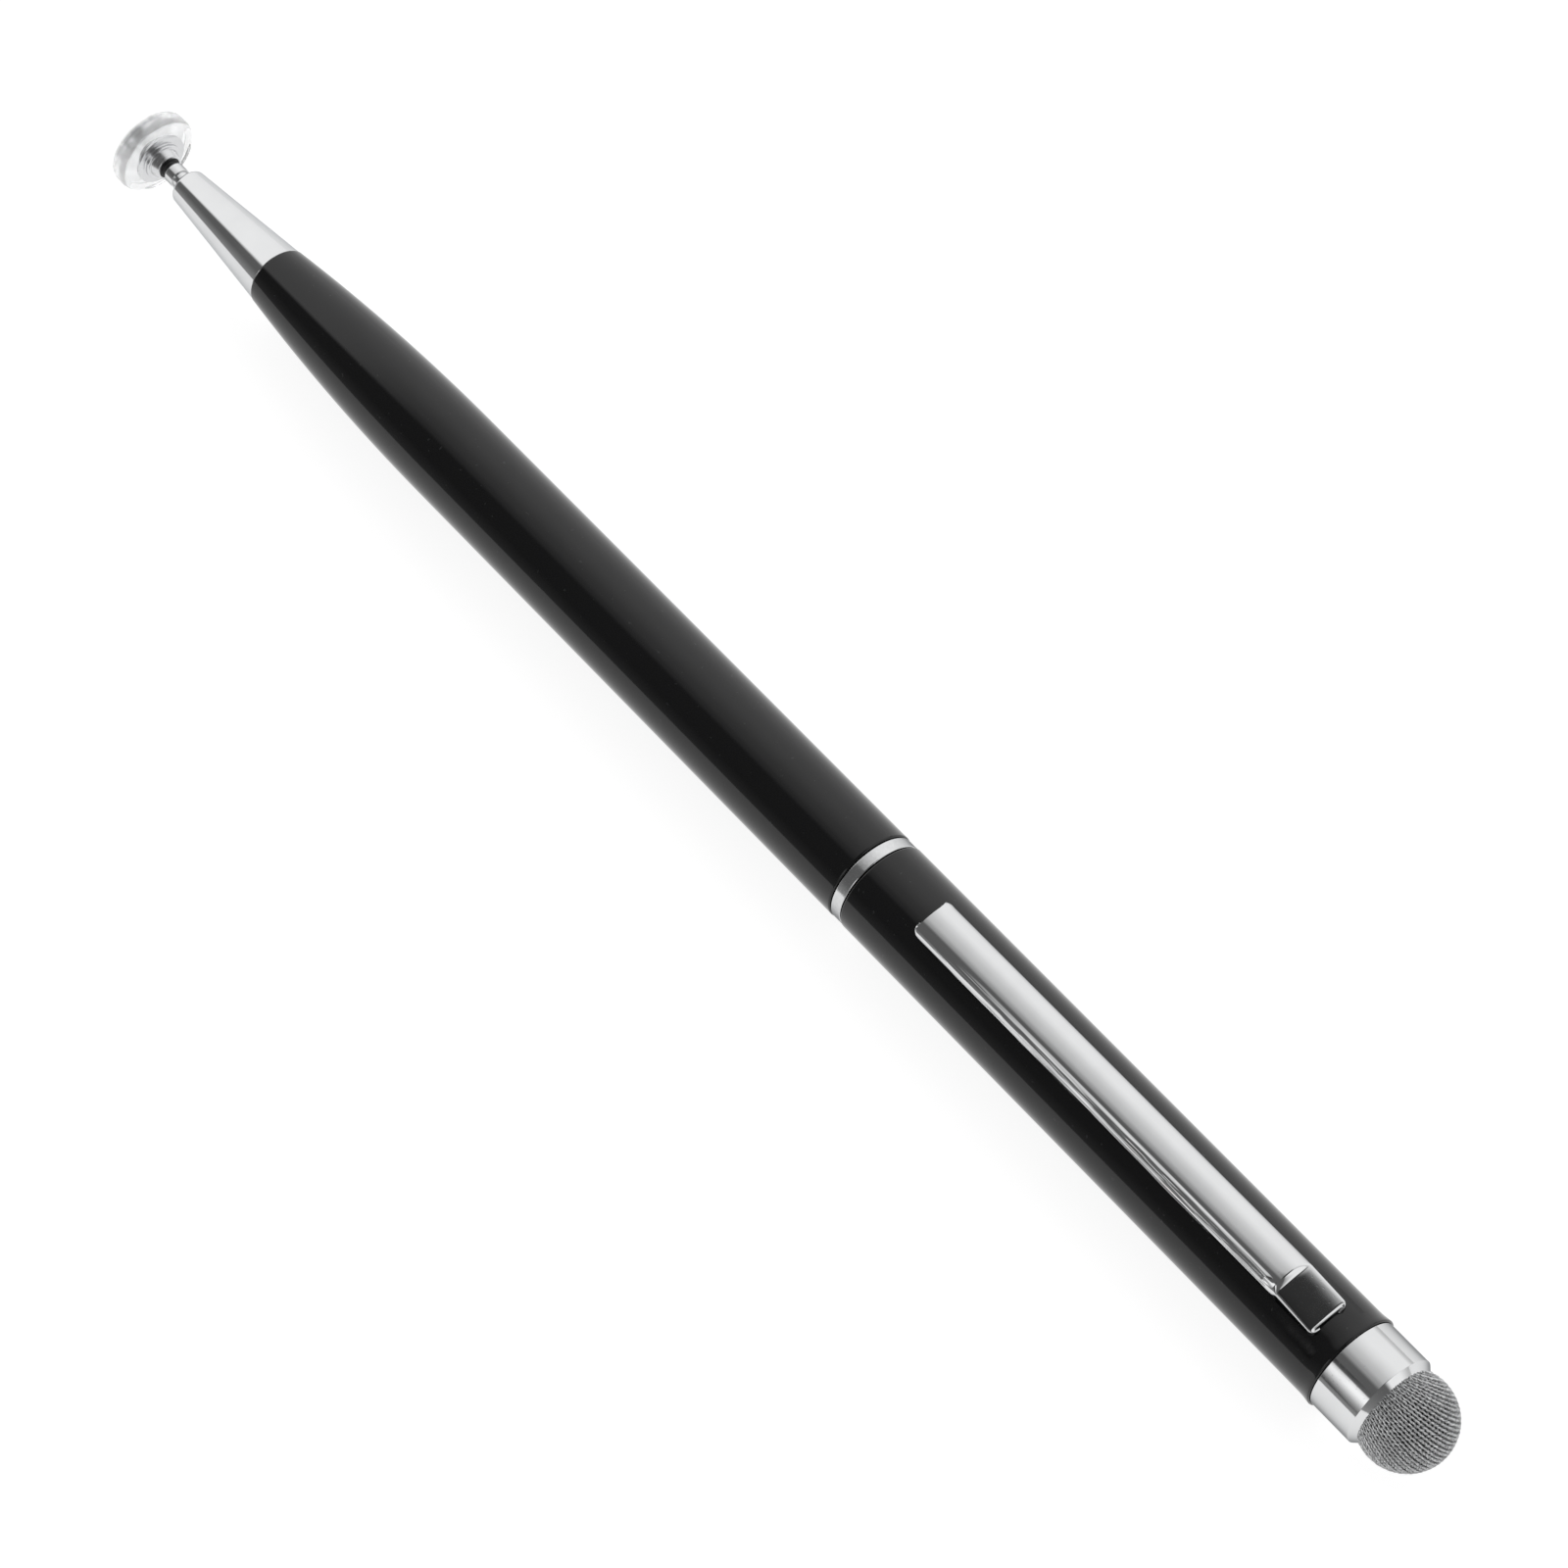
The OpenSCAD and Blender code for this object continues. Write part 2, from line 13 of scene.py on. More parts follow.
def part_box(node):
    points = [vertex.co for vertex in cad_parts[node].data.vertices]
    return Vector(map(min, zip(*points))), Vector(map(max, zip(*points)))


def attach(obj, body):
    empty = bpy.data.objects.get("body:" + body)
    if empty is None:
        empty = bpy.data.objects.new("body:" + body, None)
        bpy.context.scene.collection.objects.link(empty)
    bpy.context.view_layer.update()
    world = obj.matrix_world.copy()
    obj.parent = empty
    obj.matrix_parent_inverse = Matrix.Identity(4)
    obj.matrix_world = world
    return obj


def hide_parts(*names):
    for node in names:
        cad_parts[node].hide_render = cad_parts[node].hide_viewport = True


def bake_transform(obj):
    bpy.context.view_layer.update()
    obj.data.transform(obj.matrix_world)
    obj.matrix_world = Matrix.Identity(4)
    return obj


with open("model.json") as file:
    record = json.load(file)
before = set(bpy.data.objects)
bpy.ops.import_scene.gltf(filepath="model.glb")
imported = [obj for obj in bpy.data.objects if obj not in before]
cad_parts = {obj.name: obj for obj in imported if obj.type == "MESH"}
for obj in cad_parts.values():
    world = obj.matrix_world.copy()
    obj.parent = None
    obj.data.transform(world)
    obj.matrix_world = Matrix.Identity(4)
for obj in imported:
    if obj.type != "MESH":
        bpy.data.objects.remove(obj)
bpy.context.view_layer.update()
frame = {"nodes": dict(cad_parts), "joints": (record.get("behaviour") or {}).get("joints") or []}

bl_info = {
    "name": "Capacitive stylus",
    "version": (1, 0, 0),
    "blender": (4, 5, 0),
    "location": "View3D > Sidebar > Stylus",
    "description": "Builds the visible pieces of a two-ended touch-screen stylus on its frame",
    "category": "Add Mesh",
}

MM = 0.001
MICRON = 1.0e-6

# Gaps between pieces that seat on one another
FIT = 0.02 * MM
LOOSE_FIT = 0.03 * MM


# Stations and radii that the frame gives

def reach(node):
    """Stations of a node's two ends along the pen, and its greatest radius."""
    low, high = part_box(node)
    return low.x, high.x, (high.y - low.y) / 2


JOINTS = {joint["name"]: joint for joint in frame["joints"]}
AXIS_Z = sum(corner.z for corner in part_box("lower_barrel")) / 2
X_BALL = JOINTS["disc_pitch"]["pos_m"][0]
X_DISC, X_DISC_BACK, DISC_R = reach("contact_disc")
_, X_FILM_BACK, FILM_R = reach("contact_film")
X_HUB_FLOOR, X_HUB_MOUTH, FLANGE_R = reach("disc_hub")
_, X_LINER_RIM, LINER_R = reach("socket_liner")
_, X_SHANK_END, BEAD_R = reach("ball_stem")
X_NOSE, X_SPIGOT_END, NOSE_REAR_R = reach("nose_cone")
X_LOWER, X_LOWER_END, BARREL_R = reach("lower_barrel")
X_GRIP, X_THREAD_END, GRIP_R = reach("joint_nipple")
X_RING, X_RING_END, RING_R = reach("centre_ring")
X_UPPER, X_UPPER_END, FLARE_R = reach("upper_barrel")
X_TAIL_SPIGOT, X_LIP, FERRULE_R = reach("tail_ferrule")
X_CLIP, X_HEEL, _ = reach("pocket_clip")
_, X_POLE, DOME_R = reach("mesh_tip")
X_CORE, _, _ = reach("foam_core")
X_DOME = X_POLE - DOME_R


# Sizes, colours and stage values that a user may change

def length(name, millimetres, description):
    """A length property whose default is given in millimetres."""
    return FloatProperty(name=name, description=description, default=millimetres * MM,
                         min=0, unit="LENGTH", subtype="DISTANCE", precision=5)


def colour(name, red, green, blue, description):
    """A colour property with linear red, green and blue."""
    return FloatVectorProperty(name=name, description=description, default=(red, green, blue),
                               min=0, max=1, size=3, subtype="COLOR")


def angle(name, degrees, description):
    """An angle property whose default is given in degrees."""
    return FloatProperty(name=name, description=description, default=math.radians(degrees),
                         unit="ROTATION", subtype="ANGLE")


def level(name, amount, description):
    """A plain number property, such as a brightness."""
    return FloatProperty(name=name, description=description, default=amount, min=0,
                         subtype="FACTOR", soft_max=2)


def power(name, amount, description):
    """A power that shapes a curve."""
    return FloatProperty(name=name, description=description, default=amount, min=1, max=30)


class TurnedSizes(bpy.types.PropertyGroup):
    """Sizes of the turned pieces that their boxes don't give."""

    turn_steps: IntProperty(name="Turn steps", description="Faces round each turned piece",
                            default=192, min=48, max=384)
    edge: length("Broken edge", 0.06, "Fillet on the crisp edges of turned metal")
    disc_edge: length("Disc edge", 0.45, "Round of the disc's rim at its face")
    disc_shoulder: length("Disc shoulder", 0.6, "Round of the disc's rim at its back")
    hub_spigot_r: length("Hub spigot radius", 1.47, "Spigot of the hub through the disc")
    flange_t: length("Flange thickness", 0.3, "Hub flange on the back of the disc")
    boss_r: length("Boss radius", 1.57, "Boss of the hub behind its flange")
    boss_h: length("Boss height", 0.63, "From the back of the disc to the boss's end")
    collar_r: length("Collar radius", 1.3, "Foot of the collar that narrows to the mouth")
    mouth_r: length("Mouth radius", 0.927, "Opening of the hub's cup")
    mouth_rim: length("Mouth rim", 0.19, "Width of the rim round the hub's mouth")
    cup_r: length("Cup radius", 1.01, "Round hollow of the hub")
    liner_in_r: length("Liner bore", 0.81, "Inner radius of the black cup")
    ball_r: length("Ball radius", 0.78, "Ball of the stem")
    neck_r: length("Neck radius", 0.35, "Neck between ball and bead")
    bead_x: length("Bead offset", 0.78, "From the ball's centre to the front of the bead")
    bead_len: length("Bead length", 1.1, "Collar bead of the stem")
    bead_edge: length("Bead edge", 0.26, "Round of the bead's edges")
    stem_r: length("Stem radius", 0.74, "Stem between bead and nose")
    shank_r: length("Shank radius", 0.8, "Screwed shank in the nose")
    nose_front_r: length("Nose front radius", 1.5, "Front end of the nose cone")
    nose_shoulder: length("Nose shoulder", 0.55, "Round of the nose cone's front")
    nose_spigot_r: length("Nose spigot radius", 1.62, "Spigot of the nose inside the barrel")
    barrel_front_r: length("Barrel front radius", 2.62, "Drawn-in front end of the lower barrel")
    barrel_wall: length("Barrel wall", 0.45, "Wall of both tubes")
    taper_len: length("Taper length", 22.5, "Arc that draws the lower barrel in")
    rim_fillet: length("Rim fillet", 0.16, "Round of the tubes' rims")
    flare_len: length("Flare length", 1.2, "Stretch over which the tail lip flares")
    ring_edge: length("Ring edge", 0.08, "Round of the ring's edges")
    land_r: length("Land radius", 2.95, "Land of the nipple under the ring")
    thread_r: length("Thread radius", 2.6, "Crest of the centre thread")
    thread_pitch: length("Thread pitch", 0.75, "Travel of the centre thread in one turn")
    thread_depth: length("Thread depth", 0.36, "Crest to root of the centre thread")
    nipple_bore: length("Nipple bore", 1.7, "Bore through the nipple")
    tail_spigot_r: length("Tail spigot radius", 2.29, "Spigot of the ferrule in its bush")
    ferrule_bore: length("Ferrule bore", 0.92, "Bore through the ferrule's floor")
    cup_floor: length("Cup floor", 1.0, "From the barrel's end to the floor of the ferrule's cup")
    ferrule_cup_r: length("Ferrule cup radius", 2.95, "Cup that holds the sock's skirt")
    chamfer_len: length("Chamfer length", 0.55, "Sloping stretch of the ferrule's lip")
    lip_r: length("Lip radius", 3.3, "Narrow end of the ferrule's chamfer")


class ClipSizes(bpy.types.PropertyGroup):
    """Sizes of the stamped pocket clip."""

    sheet: length("Sheet", 0.4, "Thickness of the clip's sheet")
    arm_w: length("Arm width", 3.45, "Width of the arm over its folded sides")
    bow_r: length("Bow radius", 3.5, "Round of the arm's top, seen along the pen")
    fold_h: length("Folded height", 1.2, "Height of the folded sides")
    crown_tip: length("Crown at the free end", 1.05, "Top of the arm above the barrel")
    crown_root: length("Crown at the crank", 1.4, "Top of the arm above the barrel")
    crank_len: length("Crank length", 0.5, "Stretch where the arm steps down")
    foot_len: length("Foot length", 3.5, "Folded foot on the barrel")
    foot_gap: length("Foot gap", 0.04, "Between the foot and the barrel")
    foot_rise: length("Foot rise", 0.6, "How far the foot slopes up from its heel to the crank")
    foot_half: length("Foot half width", 1.65, "Half the width of the foot")
    foot_bow: length("Foot bow", 0.095, "Fall of the foot's top towards its folded sides")
    corner: length("Corner", 0.4, "Round of the strip's corners seen from above")
    prow: length("Prow", 0.8, "Round of the folded sides at the free end")
    scallop: length("Scallop", 0.12, "Hollow of the heel's edge")
    end_hollow: length("End hollow", 0.14, "Hollow of the free end's edge")
    heel_round: length("Heel round", 0.24, "Round of the foot's top where it meets the heel")
    edge: length("Broken edge", 0.07, "Fillet on the edges of the sheet")
    tab_w: length("Tab width", 1.7, "Tab that goes through the barrel")
    hook_len: length("Hook length", 1.1, "Hook of the tab under the barrel's wall")
    tab_inset: length("Tab inset", 0.35, "From the front of the foot to its tab")
    hook_room: length("Hook room", 0.3, "Room over the hook, under the barrel's wall")
    slot_room: length("Slot room", 0.15, "Room round the tab in its slot")
    streak_start: length("Streak start", 14, "From the free end to where the drawn streaks are strongest")
    streak_depth: length("Streak depth", 0.28, "Depth of the shading of the drawn streaks")
    squareness: power("Squareness", 4.2, "Power of the arm's rounded section")
    foot_squareness: power("Foot squareness", 18, "Power of the foot's folded section")
    foot_bow_power: power("Foot bow power", 1.25, "Power of the foot's bow; 1 is a ridge, 2 is round")


class KnitSizes(bpy.types.PropertyGroup):
    """Sizes of the jersey stitches on the fibre tip."""

    wale: length("Wale", 0.6, "Width of one column of stitches, at the pole")
    course: length("Course", 0.326, "Height of one row of stitches, at the pole")
    yarn_r: length("Yarn radius", 0.07, "Half the thickness of the yarn")
    loop_rise: length("Loop rise", 0.29, "Half the height of one loop")
    loop_lean: length("Loop lean", 0.11, "Sideways lean of a loop's legs")
    loop_depth: length("Loop depth", 0.065, "Legs in front of heads and feet")
    unevenness: level("Unevenness", 0.04, "How far the loops differ from one another")
    wale_bend: FloatProperty(name="Wale bend", default=18.0,
                             description="Sideways pull of the wales, in metres at one metre")
    wale_turn: angle("Wale turn", -27.5, "Turn of the wales about the pen, from the clip's side")
    core_shelf: length("Core shelf", 0.3, "From the ferrule's lip to the foot of the soft dome")
    core_stub_r: length("Core stub radius", 2.5, "Stub of the soft core in the ferrule's cup")


class StylusColours(bpy.types.PropertyGroup):
    """Base colours of the finishes."""

    lacquer: colour("Lacquer", 0.008, 0.008, 0.0084, "Black gloss of the barrels")
    chrome: colour("Chrome", 0.68, 0.685, 0.69, "Bright plating")
    grazed: colour("Grazed chrome", 0.32, 0.325, 0.33, "Tint of the plating seen at a grazing angle")
    # Painted highlight: the nose's plating takes a lighter copy of the grazing tint, so its edges show
    # lighter than the ferrule's
    nose_painted_highlight: colour("Grazed nose", 0.64, 0.65, 0.66, "Tint of the nose seen at a grazing angle")
    ring: colour("Ring", 0.66, 0.665, 0.67, "Turned and plated ring")
    hub: colour("Hub", 0.66, 0.665, 0.675, "Satin turned metal")
    brass: colour("Brass", 0.72, 0.53, 0.25, "Turned brass")
    clear: colour("Clear plastic", 0.97, 0.975, 0.98, "Clear contact disc")
    film: colour("Film", 0.94, 0.955, 0.965, "Conductive film")
    liner: colour("Liner", 0.012, 0.012, 0.013, "Black moulded cup")
    yarn: colour("Yarn", 0.72, 0.725, 0.73, "Silver-grey conductive yarn")
    foam: colour("Foam", 0.012, 0.012, 0.013, "Soft core behind the stitches")


class StageValues(bpy.types.PropertyGroup):
    """Camera, floor and light."""

    lens: FloatProperty(name="Lens", description="Focal length in millimetres", default=120.86)
    distance: length("Distance", 380, "Camera to the point that it looks at")
    azimuth: angle("Azimuth", 61.833, "Camera's turn about the vertical")
    elevation: angle("Elevation", 60.93, "Camera's height above the horizon")
    roll: angle("Roll", -13.192, "Camera's turn about its own line of sight")
    aim: FloatVectorProperty(name="Aim", description="Point that the camera looks at", size=3,
                             default=(4.357 * MM, 0.29 * MM, AXIS_Z), unit="LENGTH",
                             subtype="TRANSLATION")
    floor_half: length("Floor", 9000, "Half the width of the floor")
    dome_radius: length("Light dome", 9000, "Radius of the light dome")
    floor_lift: level("Floor lift", 0.87, "Light that the pale floor shows beside what falls on it")
    floor_white: level("Floor white", 0.35, "Whiteness of the floor")
    strip_distance: length("Strip distance", 250, "From the pen's axis to the strip lamp")
    strip_half: length("Strip half width", 120, "Half the width of the strip lamp")
    strip_turn: angle("Strip turn", -55, "Strip lamp's turn about the pen, from the vertical")
    strip_near: FloatProperty(name="Strip start", description="Station where the strip lamp starts",
                              default=-17 * MM, unit="LENGTH", subtype="DISTANCE")
    strip_far: length("Strip end", 250, "Station where the strip lamp ends")
    strip_fade: length("Strip fade", 8, "Stretch over which the strip lamp grows bright")
    strip_light: level("Strip light", 1.0, "Brightness of the strip lamp")
    front_light: level("Front light", 1.16, "Even light that the nose and the barrel's front catch")
    camera_shade: level("Camera shade", 0.06, "What is left of the light round the camera")


# Outlines of (station, radius) points

ARC_STEPS = 10

# Corners that turn by less than STRAIGHT radians get no fillet. A fillet takes up to LONGEST_TANGENT of an
# edge, and a row of points stands SUPPORT of its length outside it.
STRAIGHT = 0.02
LONGEST_TANGENT = 0.45
SUPPORT = 0.08

# Radii and distances in metres below which a point is on the axis, or at a station
ON_AXIS = 1.0e-9
SAME_STATION = 1.0e-7


def arc(centre, radius, start, end, steps=ARC_STEPS):
    """Points round a centre, from one angle in degrees to another; 0 is along the pen, 90 is outwards."""
    turns = np.radians(np.linspace(start, end, steps + 1))
    return [(centre[0] + radius * math.cos(t), centre[1] + radius * math.sin(t)) for t in turns]


def rounded(corners, steps=ARC_STEPS):
    """The closed outline through (station, radius, fillet) corners, each rounded by its own fillet."""
    outline = []
    count = len(corners)
    for i, (x, r, fillet) in enumerate(corners):
        corner = Vector((x, r))
        back = Vector(corners[i - 1][:2]) - corner
        ahead = Vector(corners[(i + 1) % count][:2]) - corner
        spread = back.angle(ahead) if fillet else math.pi
        if spread > math.pi - STRAIGHT:
            outline.append((x, r))
            continue
        longest = LONGEST_TANGENT * min(back.length, ahead.length)
        tangent = min(fillet / math.tan(spread / 2), longest)
        radius = tangent * math.tan(spread / 2)
        back.normalize()
        ahead.normalize()
        centre = corner + (back + ahead).normalized() * (radius / math.sin(spread / 2))
        start = corner + back * tangent - centre
        turn = start.angle_signed(corner + ahead * tangent - centre)
        support = SUPPORT * tangent
        outline.append(tuple(corner + back * (tangent + support)))
        for k in range(steps + 1):
            outline.append(tuple(centre + Matrix.Rotation(-turn * k / steps, 2) @ start))
        outline.append(tuple(corner + ahead * (tangent + support)))
    return outline


def sharp(points):
    """Corners with no fillet, from plain outline points."""
    return [(x, r, 0) for x, r in points]


# Meshes

def lathe(outline, steps, cut=None, window=None):
    """Vertices and faces of a closed outline turned about the pen's axis.

    cut gives the radii round a row from its station, radius and angles. window is two stations and
    a half width: a slot through the outer and the inner wall at the top, between those stations.
    """
    turns = np.arange(steps) * 2 * math.pi / steps
    points, rows = [], []
    for x, r in outline:
        if r < ON_AXIS:
            rows.append([len(points)] * steps)
            points.append((x, 0, AXIS_Z))
            continue
        radii = cut(x, r, turns) if cut else np.full(steps, r)
        rows.append(list(range(len(points), len(points) + steps)))
        points.extend((x, q * math.sin(t), AXIS_Z + q * math.cos(t)) for q, t in zip(radii, turns))
    open_cells, walls = slot_cells(outline, rows, steps, window) if window else (set(), [])
    faces = []
    for i, row in enumerate(rows):
        following = rows[(i + 1) % len(rows)]
        for j in range(steps):
            k = (j + 1) % steps
            if (i, j) in open_cells:
                continue
            face = list(dict.fromkeys((row[j], following[j], following[k], row[k])))
            if len(face) > 2:
                faces.append(face)
    return points, faces + walls


def slot_cells(outline, rows, steps, window):
    """Cells of a turned tube that a slot leaves out, and the slot's four walls."""
    first, last, half_width = window
    near = [i for i, point in enumerate(outline) if abs(point[0] - first) < SAME_STATION]
    far = [i for i, point in enumerate(outline) if abs(point[0] - last) < SAME_STATION]
    outer = sorted((near[0], far[0]))
    inner = sorted((near[-1], far[-1]))
    side = round(half_width / outline[outer[0]][1] * steps / (2 * math.pi))
    columns = range(-side, side)
    cells = {(i, j % steps) for a, b in (outer, inner) for i in range(a, b) for j in columns}
    top = [rows[outer[0]], rows[outer[1]]]
    low = [rows[inner[1]], rows[inner[0]]]
    walls = []
    for j in columns:
        walls.append([top[0][j], low[0][j], low[0][j + 1], top[0][j + 1]])
        walls.append([top[1][j + 1], low[1][j + 1], low[1][j], top[1][j]])
    walls.append([top[1][-side], low[1][-side], low[0][-side], top[0][-side]])
    walls.append([top[0][side], low[0][side], low[1][side], top[1][side]])
    return cells, walls


def add_piece(name, shape, finish, node, body=None, crease=32):
    """A new mesh piece that stands for a CAD node, wears a finish and rides on a body."""
    points, faces = shape
    mesh = bpy.data.meshes.new(name)
    mesh.from_pydata([tuple(map(float, p)) for p in points], [], faces)
    mesh.shade_smooth()
    mesh.set_sharp_from_angle(angle=math.radians(crease))
    mesh.materials.append(finish)
    piece = bpy.data.objects.new(name, mesh)
    bpy.context.scene.collection.objects.link(piece)
    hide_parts(node)
    if body:
        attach(piece, body)
    return piece


# Finishes

# Range that noise textures mostly keep to
NOISE_LOW, NOISE_HIGH = 0.3, 0.7

THROUGH_TINT = (0.97, 0.97, 0.97, 1)


class Nodes:
    """A new material, with short ways to add shader nodes and link them."""

    def __init__(self, name):
        self.material = bpy.data.materials.new(name)
        self.material.use_nodes = True
        self.tree = self.material.node_tree

    def add(self, kind, settings=None, **inputs):
        """A new node with its settings, and its named inputs set or linked."""
        node = self.tree.nodes.new(kind)
        for key, value in (settings or {}).items():
            setattr(node, key, value)
        for key, value in inputs.items():
            self.feed(node.inputs[key.replace("_", " ")], value)
        return node

    def feed(self, socket, value):
        """Links a socket to a value that another node gives, or sets it."""
        if isinstance(value, bpy.types.NodeSocket):
            self.tree.links.new(value, socket)
        else:
            socket.default_value = value

    def maths(self, operation, *values):
        """The result of a maths node."""
        node = self.add("ShaderNodeMath", {"operation": operation})
        for socket, value in zip(node.inputs, values):
            self.feed(socket, value)
        return node.outputs[0]

    def dot(self, place, direction):
        """How far a place lies along a direction."""
        node = self.add("ShaderNodeVectorMath", {"operation": "DOT_PRODUCT"})
        self.feed(node.inputs[0], place)
        self.feed(node.inputs[1], direction)
        return node.outputs["Value"]

    def ramp(self, value, start, end, low, high, kind="LINEAR"):
        """A value mapped from one range to another and held at its ends."""
        return self.add("ShaderNodeMapRange", {"interpolation_type": kind}, Value=value, From_Min=start,
                        From_Max=end, To_Min=low, To_Max=high).outputs["Result"]

    def blend(self, factor, first, second):
        """A number between two others."""
        mix = self.add("ShaderNodeMix")
        for place, value in ((0, factor), (2, first), (3, second)):
            self.feed(mix.inputs[place], value)
        return mix.outputs[0]


class Finish(Nodes):
    """A material whose shader takes constants on its sockets and detail from a few textures."""

    def __init__(self, name, **constants):
        super().__init__(name)
        self.shader = self.tree.nodes["Principled BSDF"]
        for socket, value in constants.items():
            self.shader.inputs[socket.replace("_", " ")].default_value = value
        self.place = self.add("ShaderNodeTexCoord").outputs["Object"]

    def stretched(self, along, across):
        """Object coordinates scaled along the pen and across it."""
        return self.add("ShaderNodeMapping", Vector=self.place,
                        Scale=(along, across, across)).outputs["Vector"]

    def noise(self, size, detail=2.0, place=None):
        """Noise from 0 to 1 with features of a size in metres."""
        return self.add("ShaderNodeTexNoise", Vector=place or self.place, Scale=1 / size,
                        Detail=detail).outputs["Fac"]

    def turning_lines(self, size, stretch):
        """Fine lines round a turned piece."""
        return self.noise(size, 2, self.stretched(1, stretch))

    def tone(self, pattern, base, dark, light):
        """Lets a pattern vary the base colour between a darker and a lighter shade."""
        mix = self.add("ShaderNodeMix", {"data_type": "RGBA"})
        for place, value in ((0, pattern), (6, (*shade(base, dark), 1)), (7, (*shade(base, light), 1))):
            self.feed(mix.inputs[place], value)
        self.wear("Base Color", mix.outputs[2])

    def polish(self, pattern, best, worst):
        """Lets a noise pattern vary the roughness."""
        self.wear("Roughness", self.ramp(pattern, NOISE_LOW, NOISE_HIGH, best, worst))

    def wear(self, socket, value):
        """Links a value to one of the shader's sockets."""
        self.tree.links.new(value, self.shader.inputs[socket])

    def see_through(self, share):
        """Lets a share of what lies behind the piece show straight through it, and light its shadow."""
        shadow = self.add("ShaderNodeLightPath").outputs["Is Shadow Ray"]
        through = self.add("ShaderNodeBsdfTransparent", Color=THROUGH_TINT)
        mix = self.add("ShaderNodeMixShader", Fac=self.maths("MAXIMUM", shadow, share))
        self.feed(mix.inputs[1], self.shader.outputs[0])
        self.feed(mix.inputs[2], through.outputs[0])
        self.feed(self.tree.nodes["Material Output"].inputs["Surface"], mix.outputs[0])

    def relief(self, *layers):
        """Bumps of (height, depth in metres), one on another."""
        normal = None
        for height, depth in layers:
            bump = self.add("ShaderNodeBump", Height=height, Strength=1.0, Distance=depth)
            if normal:
                self.tree.links.new(normal, bump.inputs["Normal"])
            normal = bump.outputs["Normal"]
        self.tree.links.new(normal, self.shader.inputs["Normal"])


def shade(colour_value, factor):
    """A colour made darker or lighter by a factor."""
    return tuple(min(1.0, part * factor) for part in colour_value)


def lacquer_finish(colours):
    """Black gloss lacquer: faint orange peel, uneven polish and a few dust specks."""
    finish = Finish("gloss_lacquer", IOR=1.44)
    specks = finish.ramp(finish.noise(0.32 * MM, 0), 0.8, 0.84, 0, 1)
    finish.tone(specks, colours.lacquer, dark=1, light=4)
    finish.polish(finish.noise(2.6 * MM), best=0.035, worst=0.07)
    finish.relief((finish.noise(1.3 * MM), 1.6 * MICRON), (finish.noise(0.22 * MM), 0.25 * MICRON))
    return finish.material


def plating(colours, name, grazed):
    """Bright plating and its relief: soft waves from polishing, cloudy patches and fine pits."""
    finish = Finish(name, Metallic=1.0, Specular_Tint=(*grazed, 1))
    clouds = finish.noise(1.9 * MM, 3)
    finish.tone(clouds, colours.chrome, dark=0.96, light=1.04)
    finish.polish(clouds, best=0.05, worst=0.1)
    pits = finish.ramp(finish.noise(0.2 * MM, 0), 0.16, 0.26, 0, 1)
    return finish, [(finish.noise(2.4 * MM), 2.0 * MICRON), (pits, 0.6 * MICRON)]


def chrome_finish(colours, name, grazed=None):
    """Bright plating of a turned piece."""
    finish, layers = plating(colours, name, grazed or colours.grazed)
    finish.relief(*layers)
    return finish.material


def clip_finish(colours, clip):
    """Bright plating of the clip, with streaks drawn along one of its folded sides."""
    finish, layers = plating(colours, "clip_chrome", colours.grazed)
    along = finish.dot(finish.place, (1, 0, 0))
    off_middle = finish.dot(finish.place, (0, -1, 0))
    fold_start, fold_end = 0.57 * clip.arm_w / 2, 0.77 * clip.arm_w / 2
    crank_x, _ = crank_stations(clip)
    folded = finish.ramp(off_middle, fold_start, fold_end, 0, 1, "SMOOTHSTEP")
    growing = finish.ramp(along, X_CLIP, X_CLIP + clip.streak_start, 0.2, 1, "SMOOTHSTEP")
    ending = finish.ramp(along, crank_x - 2 * clip.crank_len, crank_x, 1, 0, "SMOOTHSTEP")
    where = finish.maths("MULTIPLY", folded, finish.maths("MULTIPLY", growing, ending))
    lines = finish.noise(0.45 * MM, 3, finish.stretched(0.03, 1))
    finish.relief(*layers, (finish.maths("MULTIPLY", lines, where), clip.streak_depth))
    return finish.material


def ring_finish(colours):
    """Plated ring: lathe lines round it, and a mottled, slightly hammered polish."""
    finish = Finish("lathe_chrome", Metallic=1.0, Specular_Tint=(*colours.grazed, 1))
    lines = finish.turning_lines(0.06 * MM, 0.04)
    mottle = finish.noise(0.3 * MM, 3)
    finish.tone(mottle, colours.ring, dark=0.85, light=1.1)
    finish.polish(lines, best=0.1, worst=0.17)
    finish.relief((lines, 2.5 * MICRON), (mottle, 6.0 * MICRON))
    return finish.material


def hub_finish(colours):
    """Satin metal with turning marks."""
    finish = Finish("satin_hub", Metallic=1.0)
    marks = finish.turning_lines(0.07 * MM, 0.05)
    finish.tone(marks, colours.hub, dark=0.85, light=1.1)
    finish.polish(marks, best=0.14, worst=0.28)
    finish.relief((marks, 4.0 * MICRON), (finish.noise(0.5 * MM), 4.0 * MICRON))
    return finish.material


def brass_finish(colours):
    """Turned brass with tool lines and slightly tarnished patches."""
    finish = Finish("turned_brass", Metallic=1.0)
    lines = finish.turning_lines(0.09 * MM, 0.04)
    finish.tone(finish.noise(1.4 * MM, 4), colours.brass, dark=0.72, light=1)
    finish.polish(lines, best=0.2, worst=0.36)
    finish.relief((lines, 5.0 * MICRON))
    return finish.material


def clear_finish(colours):
    """Clear moulded plastic with faint swirls in its surface."""
    finish = Finish("clear_moulding", Base_Color=(*colours.clear, 1), IOR=1.42, Transmission_Weight=1.0)
    swirls = finish.noise(0.9 * MM, 2)
    finish.polish(swirls, best=0.02, worst=0.05)
    finish.relief((swirls, 4.0 * MICRON))
    finish.see_through(0.25)
    return finish.material


